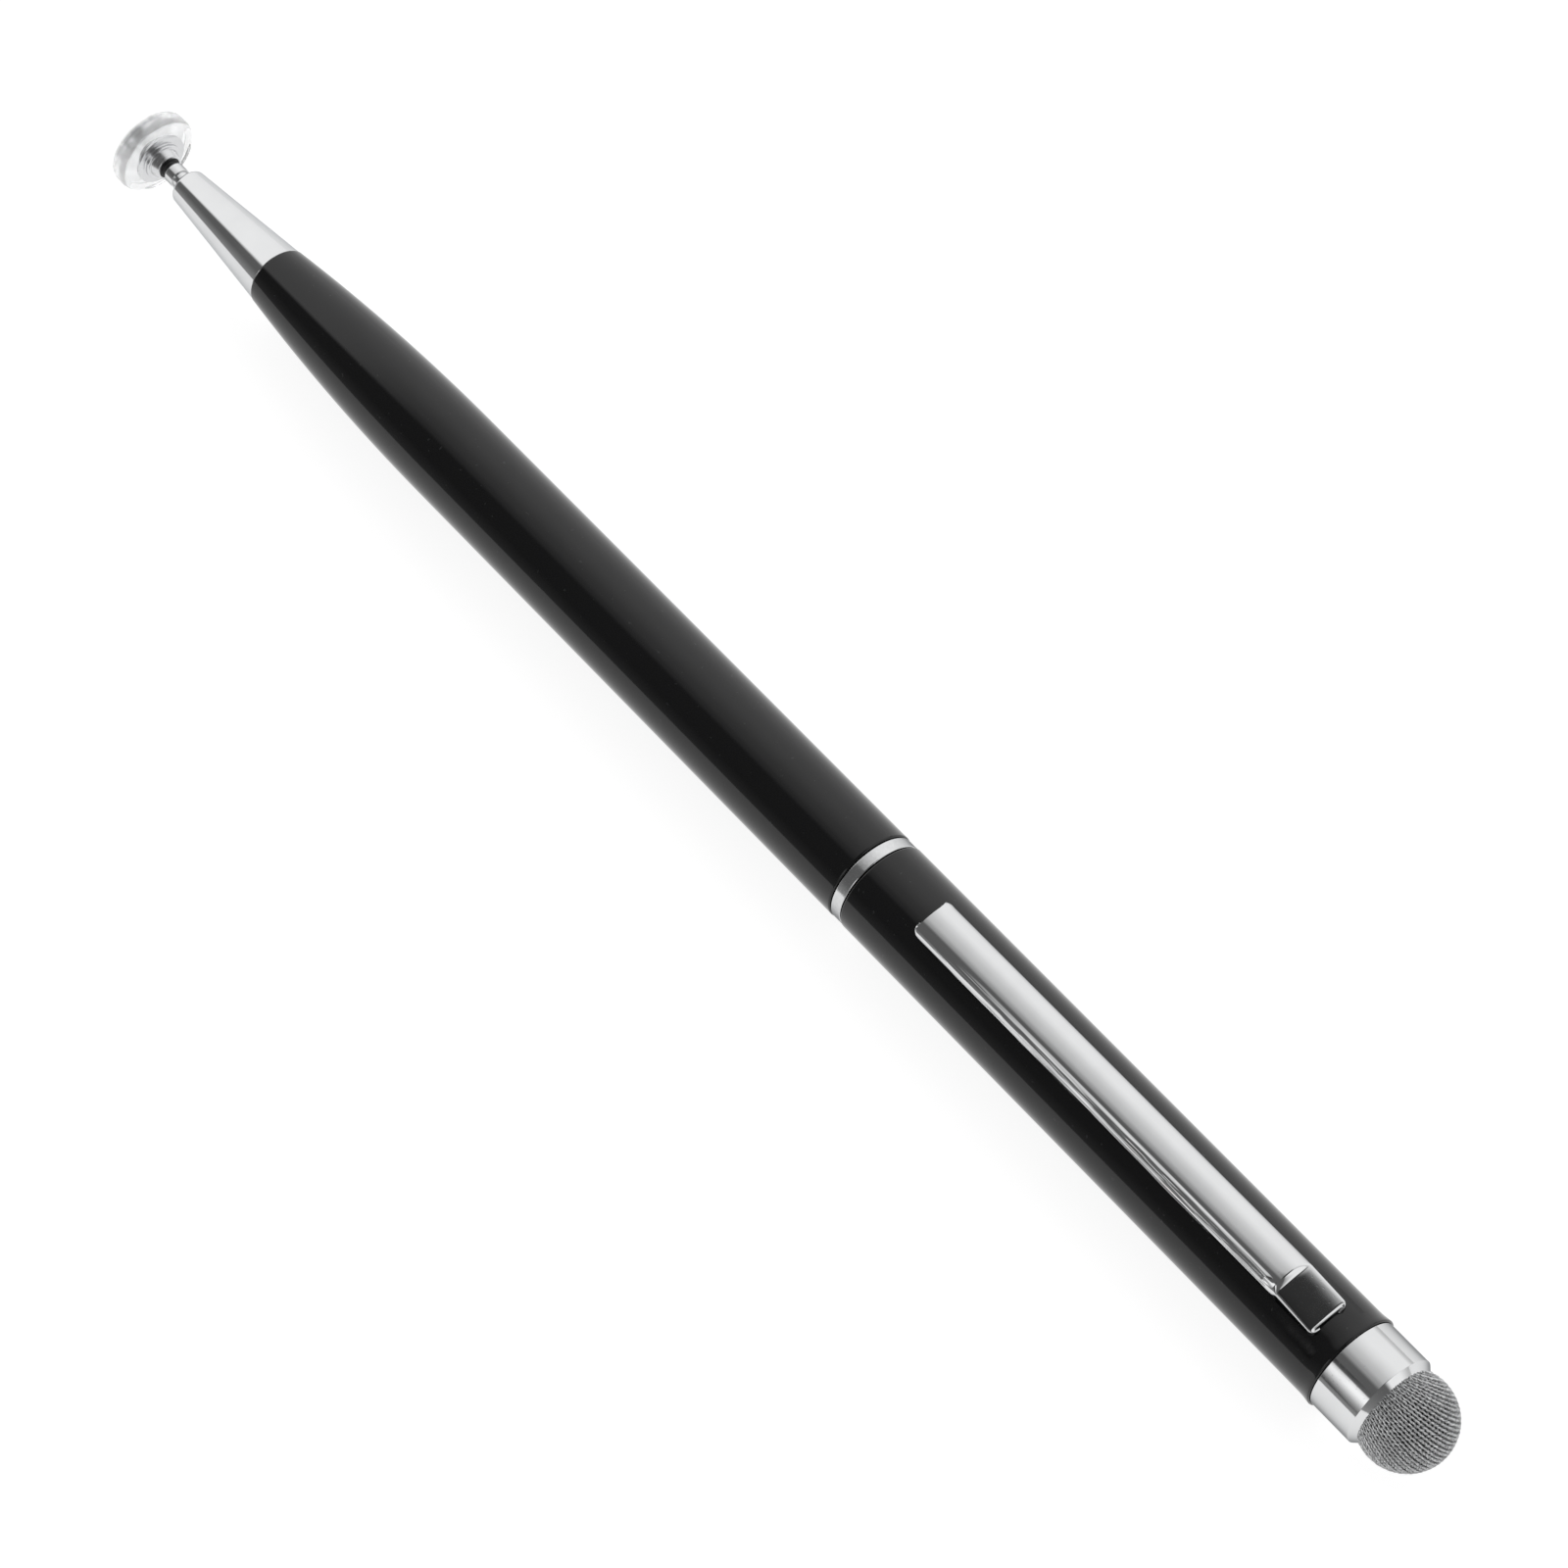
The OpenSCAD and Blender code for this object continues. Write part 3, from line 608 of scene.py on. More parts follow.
def film_finish(colours):
    """Thin conductive film: clear with a very fine grain."""
    finish = Finish("touch_film", Base_Color=(*colours.film, 1), IOR=1.5, Transmission_Weight=1.0)
    grain = finish.noise(0.12 * MM, 2)
    finish.polish(grain, best=0.06, worst=0.14)
    finish.relief((grain, 1.5 * MICRON))
    finish.see_through(0.5)
    return finish.material


def ball_finish(colours):
    """Blackened steel ball with a faint polish grain."""
    finish = Finish("blackened_ball", IOR=1.5)
    grain = finish.noise(0.08 * MM, 3)
    finish.tone(grain, colours.liner, dark=0.6, light=1.2)
    finish.polish(grain, best=0.4, worst=0.55)
    finish.relief((grain, 2.0 * MICRON))
    return finish.material


def liner_finish(colours):
    """Black moulded plastic with a fine spark-eroded grain."""
    finish = Finish("moulded_liner", IOR=1.46)
    grain = finish.noise(0.06 * MM, 3)
    finish.tone(grain, colours.liner, dark=0.7, light=1.5)
    finish.polish(grain, best=0.32, worst=0.5)
    finish.relief((grain, 3.0 * MICRON))
    return finish.material


def yarn_finish(colours):
    """Silvery twisted yarn: filaments wind round it, and stitches vary in brightness."""
    finish = Finish("knit_yarn", Metallic=0.85, Specular_Tint=(*colours.grazed, 1))
    strand = finish.add("ShaderNodeUVMap").outputs["UV"]
    twist = finish.add("ShaderNodeTexWave", {"bands_direction": "DIAGONAL"}, Vector=strand,
                       Scale=0.9, Distortion=1.2, Detail=1.0).outputs["Fac"]
    patches = finish.ramp(finish.noise(0.22 * MM, 2), 0.36, 0.66, 0, 1)
    finish.tone(patches, colours.yarn, dark=0.8, light=1.35)
    finish.wear("Roughness", finish.ramp(twist, 0, 1, 0.08, 0.2))
    finish.relief((twist, 14 * MICRON))
    return finish.material


def foam_finish(colours):
    """Dark open-celled core."""
    finish = Finish("tip_foam", Roughness=0.95)
    voronoi = finish.add("ShaderNodeTexVoronoi", Vector=finish.place, Scale=1 / (0.16 * MM))
    cells = voronoi.outputs["Distance"]
    finish.tone(cells, colours.foam, dark=0.5, light=1.6)
    finish.relief((cells, 30 * MICRON))
    return finish.material


# Pieces, one operator for each group

class StylusOperator:
    """What every operator of the stylus shares: its settings and its own way to stop."""

    bl_options = {"REGISTER", "UNDO"}

    def execute(self, context):
        """Makes the pieces, and stops the script if one can't be made."""
        made = self.make(context.scene)
        if not made:
            raise RuntimeError(f"{self.bl_label}: nothing was made")
        return {"FINISHED"}


class STYLUS_OT_contact_disc(StylusOperator, bpy.types.Operator):
    """Clear contact disc and the conductive film on its face"""

    bl_idname = "stylus.contact_disc"
    bl_label = "Contact disc"

    def make(self, scene):
        sizes, colours = scene.stylus_turned, scene.stylus_colours
        bore = sizes.hub_spigot_r + LOOSE_FIT
        seat_r = FILM_R + FIT
        seat_x = X_FILM_BACK + FIT
        disc = rounded([
            (X_DISC, seat_r, 0),
            (X_DISC, DISC_R, sizes.disc_edge),
            (X_DISC_BACK, DISC_R, sizes.disc_shoulder),
            (X_DISC_BACK, bore, sizes.edge),
            (seat_x, bore, 0),
            (seat_x, seat_r, 0)])
        film_edge = 0.3 * (X_FILM_BACK - X_DISC)
        film = rounded([
            (X_DISC, 0, 0),
            (X_DISC, FILM_R, film_edge),
            (X_FILM_BACK, FILM_R, film_edge),
            (X_FILM_BACK, 0, 0)], 4)
        return [
            add_piece("clear_disc", lathe(disc, sizes.turn_steps), clear_finish(colours),
                      "contact_disc", "disc"),
            add_piece("touch_film", lathe(film, sizes.turn_steps), film_finish(colours),
                      "contact_film", "disc")]


class STYLUS_OT_ball_joint(StylusOperator, bpy.types.Operator):
    """Hub, black cup and ball stem of the disc's ball joint"""

    bl_idname = "stylus.ball_joint"
    bl_label = "Ball joint"

    ball_steps = 24

    def make(self, scene):
        sizes, colours = scene.stylus_turned, scene.stylus_colours
        return [
            add_piece("turned_hub", lathe(self.hub(sizes), sizes.turn_steps), hub_finish(colours),
                      "disc_hub", "hub"),
            add_piece("cup_liner", lathe(self.liner(sizes), sizes.turn_steps), liner_finish(colours),
                      "socket_liner", "liner"),
            add_piece("socket_ball", lathe(self.ball(sizes), sizes.turn_steps), ball_finish(colours),
                      "ball_stem", "lower_half"),
            add_piece("beaded_stem", lathe(self.stem(sizes), sizes.turn_steps),
                      chrome_finish(colours, "stem_chrome"), "ball_stem", "lower_half")]

    def hub(self, sizes):
        """Spigot, flange, boss, a collar that narrows to the mouth, and the round cup."""
        flange_x = X_DISC_BACK + LOOSE_FIT
        flange_end = flange_x + sizes.flange_t
        boss_end = X_DISC_BACK + sizes.boss_h
        mouth_turn = math.degrees(math.asin((X_HUB_MOUTH - X_BALL) / sizes.cup_r))
        cup = arc((X_BALL, 0), sizes.cup_r, 90 - mouth_turn, 180, self.ball_steps)
        return rounded([
            (X_HUB_FLOOR, 0, 0),
            (X_HUB_FLOOR, sizes.hub_spigot_r, sizes.edge),
            (flange_x, sizes.hub_spigot_r, 0),
            (flange_x, FLANGE_R, sizes.edge),
            (flange_end, FLANGE_R, 1.5 * sizes.edge),
            (flange_end, sizes.boss_r, 1.5 * sizes.edge),
            (boss_end, sizes.boss_r, 1.5 * sizes.edge),
            (boss_end, sizes.collar_r, sizes.edge),
            (X_HUB_MOUTH, sizes.mouth_r + sizes.mouth_rim, sizes.edge)]
            + sharp(cup[:-1]) + [(cup[-1][0], 0, 0)])

    def liner(self, sizes):
        """Black cup round the ball, with a rounded rim."""
        rise = X_LINER_RIM - X_BALL
        outer_turn = math.degrees(math.asin(rise / LINER_R))
        inner_turn = math.degrees(math.asin(rise / sizes.liner_in_r))
        outer = arc((X_BALL, 0), LINER_R, 180, 90 - outer_turn, self.ball_steps)
        inner = arc((X_BALL, 0), sizes.liner_in_r, 90 - inner_turn, 180, self.ball_steps)
        rim = 0.4 * sizes.edge
        outer[0] = (outer[0][0], 0)
        inner[-1] = (inner[-1][0], 0)
        return rounded(sharp(outer[:-1]) + [(*outer[-1], rim), (*inner[0], rim)] + sharp(inner[1:]), 4)

    def ball(self, sizes):
        """Ball with a short neck that runs into the stem."""
        neck_turn = math.degrees(math.acos(sizes.neck_r / sizes.ball_r))
        ball = arc((X_BALL, 0), sizes.ball_r, 180, 90 - neck_turn, self.ball_steps)
        ball[0] = (ball[0][0], 0)
        neck_end = X_BALL + sizes.bead_x + sizes.bead_edge
        return rounded(sharp(ball) + [(neck_end, sizes.neck_r, 0), (neck_end, 0, 0)])

    def stem(self, sizes):
        """Collar bead, stem and shank; the ball's neck is set into the bead."""
        bead = X_BALL + sizes.bead_x
        bead_end = bead + sizes.bead_len
        neck_end = bead + sizes.bead_edge
        return rounded([
            (neck_end, 0, 0),
            (neck_end, sizes.neck_r, 0),
            (bead, sizes.neck_r, 0),
            (bead, BEAD_R, sizes.bead_edge),
            (bead_end, BEAD_R, sizes.bead_edge),
            (bead_end, sizes.stem_r, 0.5 * sizes.edge),
            (X_NOSE + sizes.edge, sizes.stem_r, 0),
            (X_NOSE + 2 * sizes.edge, sizes.shank_r, 0),
            (X_SHANK_END, sizes.shank_r, sizes.edge),
            (X_SHANK_END, 0, 0)])


class STYLUS_OT_nose_cone(StylusOperator, bpy.types.Operator):
    """Plated nose cone with its spigot"""

    bl_idname = "stylus.nose_cone"
    bl_label = "Nose cone"

    def make(self, scene):
        sizes, colours = scene.stylus_turned, scene.stylus_colours
        bore = sizes.shank_r + FIT
        rear = X_LOWER - FIT
        outline = rounded([
            (X_NOSE, bore, 0.5 * sizes.edge),
            (X_NOSE, sizes.nose_front_r, sizes.nose_shoulder),
            (rear, NOSE_REAR_R, 0.7 * sizes.edge),
            (rear, sizes.nose_spigot_r, 0),
            (X_SPIGOT_END, sizes.nose_spigot_r, sizes.edge),
            (X_SPIGOT_END, bore, 0)])
        # The nose wears the lighter grazing tint, a painted highlight on its edges
        finish = chrome_finish(colours, "nose_chrome", colours.nose_painted_highlight)
        return [add_piece("plated_nose", lathe(outline, sizes.turn_steps), finish,
                          "nose_cone", "lower_half")]


class STYLUS_OT_barrels(StylusOperator, bpy.types.Operator):
    """Lower and upper lacquered tubes"""

    bl_idname = "stylus.barrels"
    bl_label = "Barrels"

    taper_steps = 48
    flare_steps = 8

    def make(self, scene):
        sizes, clip, colours = scene.stylus_turned, scene.stylus_clip, scene.stylus_colours
        lacquer = lacquer_finish(colours)
        tab_x = crank_stations(clip)[1] + clip.tab_inset
        window = (tab_x - clip.slot_room,
                  tab_x + clip.sheet + clip.hook_len + clip.slot_room,
                  clip.tab_w / 2 + clip.slot_room)
        return [
            add_piece("lower_tube", lathe(self.lower(sizes), sizes.turn_steps), lacquer,
                      "lower_barrel", "lower_half"),
            add_piece("upper_tube", lathe(self.upper(sizes, window), sizes.turn_steps, window=window),
                      lacquer, "upper_barrel", "upper_half")]

    def taper(self, sizes, depth):
        """Points of the drawn-in stretch from its front end, set inwards by a depth."""
        drop = BARREL_R - sizes.barrel_front_r
        bend = (sizes.taper_len ** 2 + drop ** 2) / (2 * drop)
        stations = np.linspace(0, sizes.taper_len, self.taper_steps + 1)
        return [(X_LOWER + x, BARREL_R - depth - bend + math.sqrt(bend ** 2 - (sizes.taper_len - x) ** 2))
                for x in stations]

    def lower(self, sizes):
        """Drawn-in front, straight tube and rounded rim."""
        outer = self.taper(sizes, 0)
        inner = self.taper(sizes, sizes.barrel_wall)[::-1]
        return rounded(
            [(*outer[0], 0.6 * sizes.rim_fillet)] + sharp(outer[1:])
            + [(X_LOWER_END, BARREL_R, sizes.rim_fillet),
               (X_LOWER_END, BARREL_R - sizes.barrel_wall, sizes.edge)]
            + sharp(inner))

    def upper(self, sizes, window):
        """Straight tube with a flared tail lip; the window's stations are kept as rows."""
        bore = BARREL_R - sizes.barrel_wall
        flare_x = X_UPPER_END - sizes.flare_len
        rise = FLARE_R - BARREL_R
        flare = [(flare_x + (sizes.flare_len - sizes.rim_fillet) * f, BARREL_R + rise * f * f)
                 for f in np.arange(self.flare_steps) / self.flare_steps]
        return rounded(
            [(X_UPPER, bore, sizes.edge),
             (X_UPPER, BARREL_R, sizes.rim_fillet),
             (window[0], BARREL_R, 0),
             (window[1], BARREL_R, 0)]
            + sharp(flare)
            + [(X_UPPER_END, FLARE_R, sizes.rim_fillet),
               (X_UPPER_END, bore, sizes.edge),
               (window[1], bore, 0),
               (window[0], bore, 0)])


class STYLUS_OT_centre_joint(StylusOperator, bpy.types.Operator):
    """Chrome ring and threaded nipple between the barrels"""

    bl_idname = "stylus.centre_joint"
    bl_label = "Centre joint"

    # Mesh rows in one turn of thread, share of it that is flat at crest and root, and its plain end
    rows_per_pitch = 12
    flat_share = 0.1
    thread_run_out = 0.2 * MM

    def make(self, scene):
        sizes, colours = scene.stylus_turned, scene.stylus_colours
        bore = sizes.land_r + FIT
        ring = rounded([
            (X_RING, bore, 0.5 * sizes.edge),
            (X_RING, RING_R, sizes.ring_edge),
            (X_RING_END, RING_R, sizes.ring_edge),
            (X_RING_END, bore, 0.5 * sizes.edge)])
        return [
            add_piece("trim_ring", lathe(ring, sizes.turn_steps), ring_finish(colours),
                      "centre_ring", "lower_half"),
            add_piece("threaded_nipple", self.nipple(sizes), brass_finish(colours),
                      "joint_nipple", "lower_half", crease=50)]

    def nipple(self, sizes):
        """Grip, land and a cut thread that runs out at both ends."""
        thread_x = X_UPPER
        rows = np.arange(thread_x, X_THREAD_END - self.thread_run_out,
                         sizes.thread_pitch / self.rows_per_pitch)
        root_r = sizes.thread_r - sizes.thread_depth

        def cut(x, r, turns):
            if r != sizes.thread_r or x < thread_x:
                return np.full(len(turns), r)
            wave = np.abs(((x / sizes.thread_pitch + turns / (2 * math.pi)) % 1) * 2 - 1)
            start = min(1, (x - thread_x) / sizes.thread_pitch)
            flank = np.clip((wave - self.flat_share) / (1 - 2 * self.flat_share), 0, 1)
            return r - sizes.thread_depth * flank * start

        outline = rounded(
            [(X_GRIP, sizes.nipple_bore, sizes.edge),
             (X_GRIP, GRIP_R, 2 * sizes.edge),
             (X_LOWER_END, GRIP_R, 0.5 * sizes.edge),
             (X_LOWER_END, sizes.land_r, 0),
             (X_UPPER, sizes.land_r, 0.5 * sizes.edge)]
            + [(x, sizes.thread_r, 0) for x in rows]
            + [(X_THREAD_END, root_r, sizes.edge),
               (X_THREAD_END, sizes.nipple_bore, sizes.edge)], 4)
        return lathe(outline, sizes.turn_steps, cut)


def crank_stations(clip):
    """Stations where the clip's crank starts and where its foot starts."""
    foot_x = X_HEEL - clip.foot_len
    return foot_x - clip.crank_len, foot_x


class STYLUS_OT_pocket_clip(StylusOperator, bpy.types.Operator):
    """Stamped pocket clip with its tab and hook"""

    bl_idname = "stylus.pocket_clip"
    bl_label = "Pocket clip"

    # Faces round the section, drawn together at the folds, and faces along each stretch
    section_steps = 56
    fold_crowding = 0.09
    end_steps = 12
    arm_steps = 40
    crank_steps = 20
    foot_steps = 12
    end_inset = 0.004

    # Stretch of the arm that bends, in lengths of the crank, and edges that are rounded
    flex_cranks = 5
    crisp_angle = 50
    edge_segments = 3

    def make(self, scene):
        clip, colours = scene.stylus_clip, scene.stylus_colours
        strip = self.strip(clip)
        tab = self.tab(clip, scene.stylus_turned.barrel_wall, len(strip[0]))
        shape = self.broken_edges((strip[0] + tab[0], strip[1] + tab[1]), clip.edge)
        piece = add_piece("folded_clip", shape, clip_finish(colours, clip),
                          "pocket_clip", crease=40)
        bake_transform(piece)
        return [piece]

    def point(self, clip, x, turn, depth):
        """One point of the folded strip: round the section by angle, inwards by depth."""
        end_d, heel_d = x - X_CLIP, X_HEEL - x
        arm_y, arm_z = self.arm_point(clip, end_d, turn, depth)
        foot_y, foot_z = self.foot_point(clip, heel_d, turn, depth)
        foot = ease(x, *crank_stations(clip))
        hollow = clip.end_hollow * ease(end_d, 2 * clip.prow, 0)
        scallop = clip.scallop * ease(heel_d, clip.foot_len, 0)
        return (x + (hollow - scallop) * math.sin(turn) ** 2,
                arm_y + (foot_y - arm_y) * foot,
                AXIS_Z + arm_z + (foot_z - arm_z) * foot)

    def arm_point(self, clip, end_d, turn, depth):
        """Place on the arm's section, above the pen's axis, at a distance from the free end."""
        rise = min(1, end_d / (crank_stations(clip)[0] - X_CLIP))
        crown = BARREL_R + clip.crown_tip + (clip.crown_root - clip.crown_tip) * rise
        half = clip.arm_w / 2 - round_loss(end_d, clip.corner) - depth
        low = crown - clip.fold_h + bow(clip.arm_w / 2, clip.bow_r) + round_loss(end_d, clip.prow)
        y = half * squared(math.cos(turn), clip.squareness)
        z = low + (crown - depth - low) * squared(math.sin(turn), clip.squareness)
        return y, z - bow(y, clip.bow_r)

    def foot_point(self, clip, heel_d, turn, depth):
        """Place on the foot's section, above the pen's axis, at a distance from the heel."""
        half = clip.foot_half - round_loss(heel_d, clip.corner) - depth
        crown = BARREL_R + clip.foot_gap + clip.sheet + self.foot_lift(clip, heel_d) - depth
        crown -= round_loss(heel_d, clip.heel_round) * (1 - depth / clip.sheet)
        low = math.sqrt((BARREL_R + clip.foot_gap) ** 2 - half ** 2)
        low += self.foot_fall(clip, half)
        y = half * squared(math.cos(turn), clip.foot_squareness)
        z = low + (crown - low) * squared(math.sin(turn), clip.foot_squareness)
        return y, z - self.foot_fall(clip, y)

    def foot_fall(self, clip, y):
        """Fall of the foot's top at a distance from its middle."""
        return clip.foot_bow * abs(y / clip.foot_half) ** clip.foot_bow_power

    def foot_lift(self, clip, heel_d):
        """Rise of the sloping foot at a distance from the heel."""
        return clip.foot_rise * min(1, heel_d / clip.foot_len)

    def strip(self, clip):
        """Sections swept along the clip, closed at both ends."""
        crank_x, foot_x = crank_stations(clip)
        bend = np.linspace(0, 1, self.end_steps + 1)[1:] ** 2
        stations = np.concatenate([
            X_CLIP + clip.prow * np.concatenate([[self.end_inset], bend]),
            np.linspace(X_CLIP + clip.prow, crank_x, self.arm_steps + 1)[1:],
            np.linspace(crank_x, foot_x, self.crank_steps + 1)[1:],
            np.linspace(foot_x, X_HEEL - clip.corner, self.foot_steps + 1)[1:],
            X_HEEL - clip.corner * np.concatenate([bend[::-1][1:], [self.end_inset]])])
        steps = self.section_steps
        turns = self.section_turns(steps)
        ring = 2 * (steps + 1)
        points = []
        for x in stations:
            points += [self.point(clip, x, t, 0) for t in turns]
            points += [self.point(clip, x, t, clip.sheet) for t in turns[::-1]]
        faces = []
        for i in range(len(stations) - 1):
            for j in range(ring):
                k = (j + 1) % ring
                a, b = i * ring, (i + 1) * ring
                faces.append([a + j, b + j, b + k, a + k])
        last = (len(stations) - 1) * ring
        for j in range(steps):
            near = [j, j + 1, ring - 2 - j, ring - 1 - j]
            faces.append(near)
            faces.append([last + k for k in near[::-1]])
        return points, faces

    def section_turns(self, steps):
        """Angles round the section, close together at the folds."""
        even = np.linspace(0, 1, steps + 1)
        return math.pi * (even - self.fold_crowding * np.sin(4 * math.pi * even) / 2)

    def tab(self, clip, wall, offset):
        """Tab down through the barrel's slot, and its hook under the wall."""
        x = crank_stations(clip)[1] + clip.tab_inset
        top = BARREL_R + clip.foot_gap + self.foot_lift(clip, X_HEEL - x - clip.sheet) + clip.sheet / 2
        hook_top = BARREL_R - wall - clip.hook_room
        low = hook_top - clip.sheet
        side = [
            (x + clip.sheet, top), (x + clip.sheet, low), (x - clip.hook_len, low),
            (x - clip.hook_len, hook_top), (x, hook_top), (x, top)]
        points = [(px, y, AXIS_Z + pz) for y in (-clip.tab_w / 2, clip.tab_w / 2) for px, pz in side]
        count = len(side)
        near = [offset + k for k in range(count)]
        far = [k + count for k in near]
        faces = [[near[k - 1], near[k], far[k], far[k - 1]] for k in range(count)]
        return points, faces + [near[::-1], far]

    def broken_edges(self, shape, width):
        """The shape with every crisp edge rounded."""
        mesh = bmesh.new()
        corners = [mesh.verts.new(p) for p in shape[0]]
        for face in shape[1]:
            mesh.faces.new([corners[k] for k in face])
        bmesh.ops.recalc_face_normals(mesh, faces=mesh.faces)
        crisp = [e for e in mesh.edges if e.calc_face_angle(0) > math.radians(self.crisp_angle)]
        bmesh.ops.bevel(mesh, geom=crisp, offset=width, segments=self.edge_segments, profile=0.5,
                        affect="EDGES", clamp_overlap=True)
        mesh.verts.index_update()
        points = [tuple(v.co) for v in mesh.verts]
        faces = [[v.index for v in f.verts] for f in mesh.faces]
        mesh.free()
        return points, faces


def squared(value, power):
    """Signed power that squares off a round section."""
    return math.copysign(abs(value) ** (2 / power), value)


def bow(y, radius):
    """Fall of a rounded top at a distance from its middle."""
    return radius - math.sqrt(radius ** 2 - y ** 2)


def ease(x, start, end):
    """Smooth step from 0 at start to 1 at end."""
    f = min(1, max(0, (x - start) / (end - start)))
    return f * f * (3 - 2 * f)


def round_loss(d, r):
    """Height lost to a quarter round, at a distance from the end that it rounds."""
    return 0 if d >= r else r - math.sqrt(max(0, r ** 2 - (r - d) ** 2))


class STYLUS_OT_tail_ferrule(StylusOperator, bpy.types.Operator):
    """Chrome cup with a chamfered lip"""

    bl_idname = "stylus.tail_ferrule"
    bl_label = "Tail ferrule"

    def make(self, scene):
        sizes, colours = scene.stylus_turned, scene.stylus_colours
        front = X_UPPER_END + FIT
        floor = X_UPPER_END + sizes.cup_floor
        outline = rounded([
            (X_TAIL_SPIGOT, sizes.ferrule_bore, 0),
            (X_TAIL_SPIGOT, sizes.tail_spigot_r, sizes.edge),
            (front, sizes.tail_spigot_r, 0),
            (front, FERRULE_R, sizes.edge),
            (X_LIP - sizes.chamfer_len, FERRULE_R, sizes.edge),
            (X_LIP, sizes.lip_r, sizes.edge),
            (X_LIP, sizes.ferrule_cup_r, sizes.edge),
            (floor, sizes.ferrule_cup_r, sizes.edge),
            (floor, sizes.ferrule_bore, 0)])
        finish = chrome_finish(colours, "ferrule_chrome")
        return [add_piece("lipped_ferrule", lathe(outline, sizes.turn_steps), finish,
                          "tail_ferrule", "upper_half")]


class STYLUS_OT_fibre_tip(StylusOperator, bpy.types.Operator):
    """Knitted sock and the soft core under it"""

    bl_idname = "stylus.fibre_tip"
    bl_label = "Fibre tip"

    # Points of one loop, sides of the yarn, and the fewest points that a length of yarn has
    loop_points = 20
    yarn_sides = 8
    shortest_run = 5

    # Flat sheet in dome radii, depths in yarn radii, and the way the sheet tucks into the ferrule
    sheet_share = 1.75
    core_depth = 3.2
    tail_reach = 3
    tuck_in, tuck_back = 0.85, 0.5

    # Chance in the loops; their legs lean more unevenly than their heads rise
    seed = 11
    lean_unevenness = 2.5

    def make(self, scene):
        knit, sizes, colours = scene.stylus_knit, scene.stylus_turned, scene.stylus_colours
        points, faces, strands = self.stitches(knit)
        sock = add_piece("knit_tip", (points, faces), yarn_finish(colours), "mesh_tip", crease=80)
        layer = sock.data.uv_layers.new(name="strand")
        corner_points = np.array([loop.vertex_index for loop in sock.data.loops])
        layer.data.foreach_set("uv", np.array(strands)[corner_points].ravel())
        core = add_piece("tip_foam", lathe(self.core(knit), sizes.turn_steps // 2),
                         foam_finish(colours), "foam_core")
        for piece in (sock, core):
            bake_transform(piece)
        return [sock, core]

    def core(self, knit):
        """Soft dome just under the yarn, with a stub in the ferrule's cup."""
        radius = DOME_R - self.core_depth * knit.yarn_r
        shelf = X_LIP + knit.core_shelf
        turn = math.degrees(math.acos((shelf - X_DOME) / radius))
        dome = arc((X_DOME, 0), radius, turn, 0, 40)
        dome[-1] = (dome[-1][0], 0)
        return [(X_CORE, 0), (X_CORE, knit.core_stub_r), (shelf, knit.core_stub_r)] + dome

    def place(self, knit, across, along, lift):
        """Points of the flat knitted sheet drawn over the dome with its area kept, and into the ferrule."""
        middle = DOME_R - knit.yarn_r - knit.loop_depth
        lip_turn = math.pi / 2 + math.asin((X_DOME - X_LIP) / middle) - knit.yarn_r / (2 * middle)
        rim = 2 * middle * math.sin(lip_turn / 2)
        across = across + knit.wale_bend * along ** 2
        span = np.hypot(across, along)
        bearing = np.arctan2(across, along) + knit.wale_turn
        past = np.maximum(span - rim, 0)
        polar = 2 * np.arcsin(np.minimum(span, rim) / (2 * middle))
        radius = (middle + lift) * np.sin(polar) - self.tuck_in * past
        station = X_DOME + (middle + lift) * np.cos(polar) - self.tuck_back * past
        side, top = np.sin(bearing), np.cos(bearing)
        normal = np.stack([np.cos(polar), np.sin(polar) * side, np.sin(polar) * top], 1)
        spots = np.stack([station, radius * side, AXIS_Z + radius * top], 1)
        return spots, normal, span - rim

    def stitches(self, knit):
        """Yarn tubes, row by row: loops lean over one another as in plain jersey."""
        sheet = DOME_R * self.sheet_share
        rows = int(sheet / knit.course)
        chance = np.random.default_rng(self.seed)
        points, faces, strands = [], [], []
        for row in range(-rows, rows + 1):
            wales = math.sqrt(max(0, sheet ** 2 - (row * knit.course) ** 2)) / knit.wale
            count = int(wales * 2 * self.loop_points) + 1
            t = (np.arange(count) - count // 2) * 2 * math.pi / self.loop_points
            lean = knit.loop_lean * self.uneven(chance, t / (math.pi / 2),
                                                self.lean_unevenness * knit.unevenness)
            rise = knit.loop_rise * self.uneven(chance, t / math.pi + 0.5, knit.unevenness)
            across = knit.wale * t / (2 * math.pi) + lean * np.sin(2 * t)
            along = row * knit.course + rise * np.cos(t)
            lift = -knit.loop_depth * np.cos(2 * t)
            spots, normals, beyond = self.place(knit, across, along, lift)
            inside = beyond < self.tail_reach * knit.yarn_r
            for start, end in runs(inside):
                if end - start > self.shortest_run:
                    self.tube(knit, spots[start:end], normals[start:end], points, faces, strands)
        return points, faces, strands

    def uneven(self, chance, legs, amount):
        """A factor near 1 for each leg or head of a loop, the same all along it."""
        which = np.floor(legs + 1e-6).astype(int)
        factors = 1 + amount * chance.standard_normal(which.max() - which.min() + 1)
        return factors[which - which.min()]

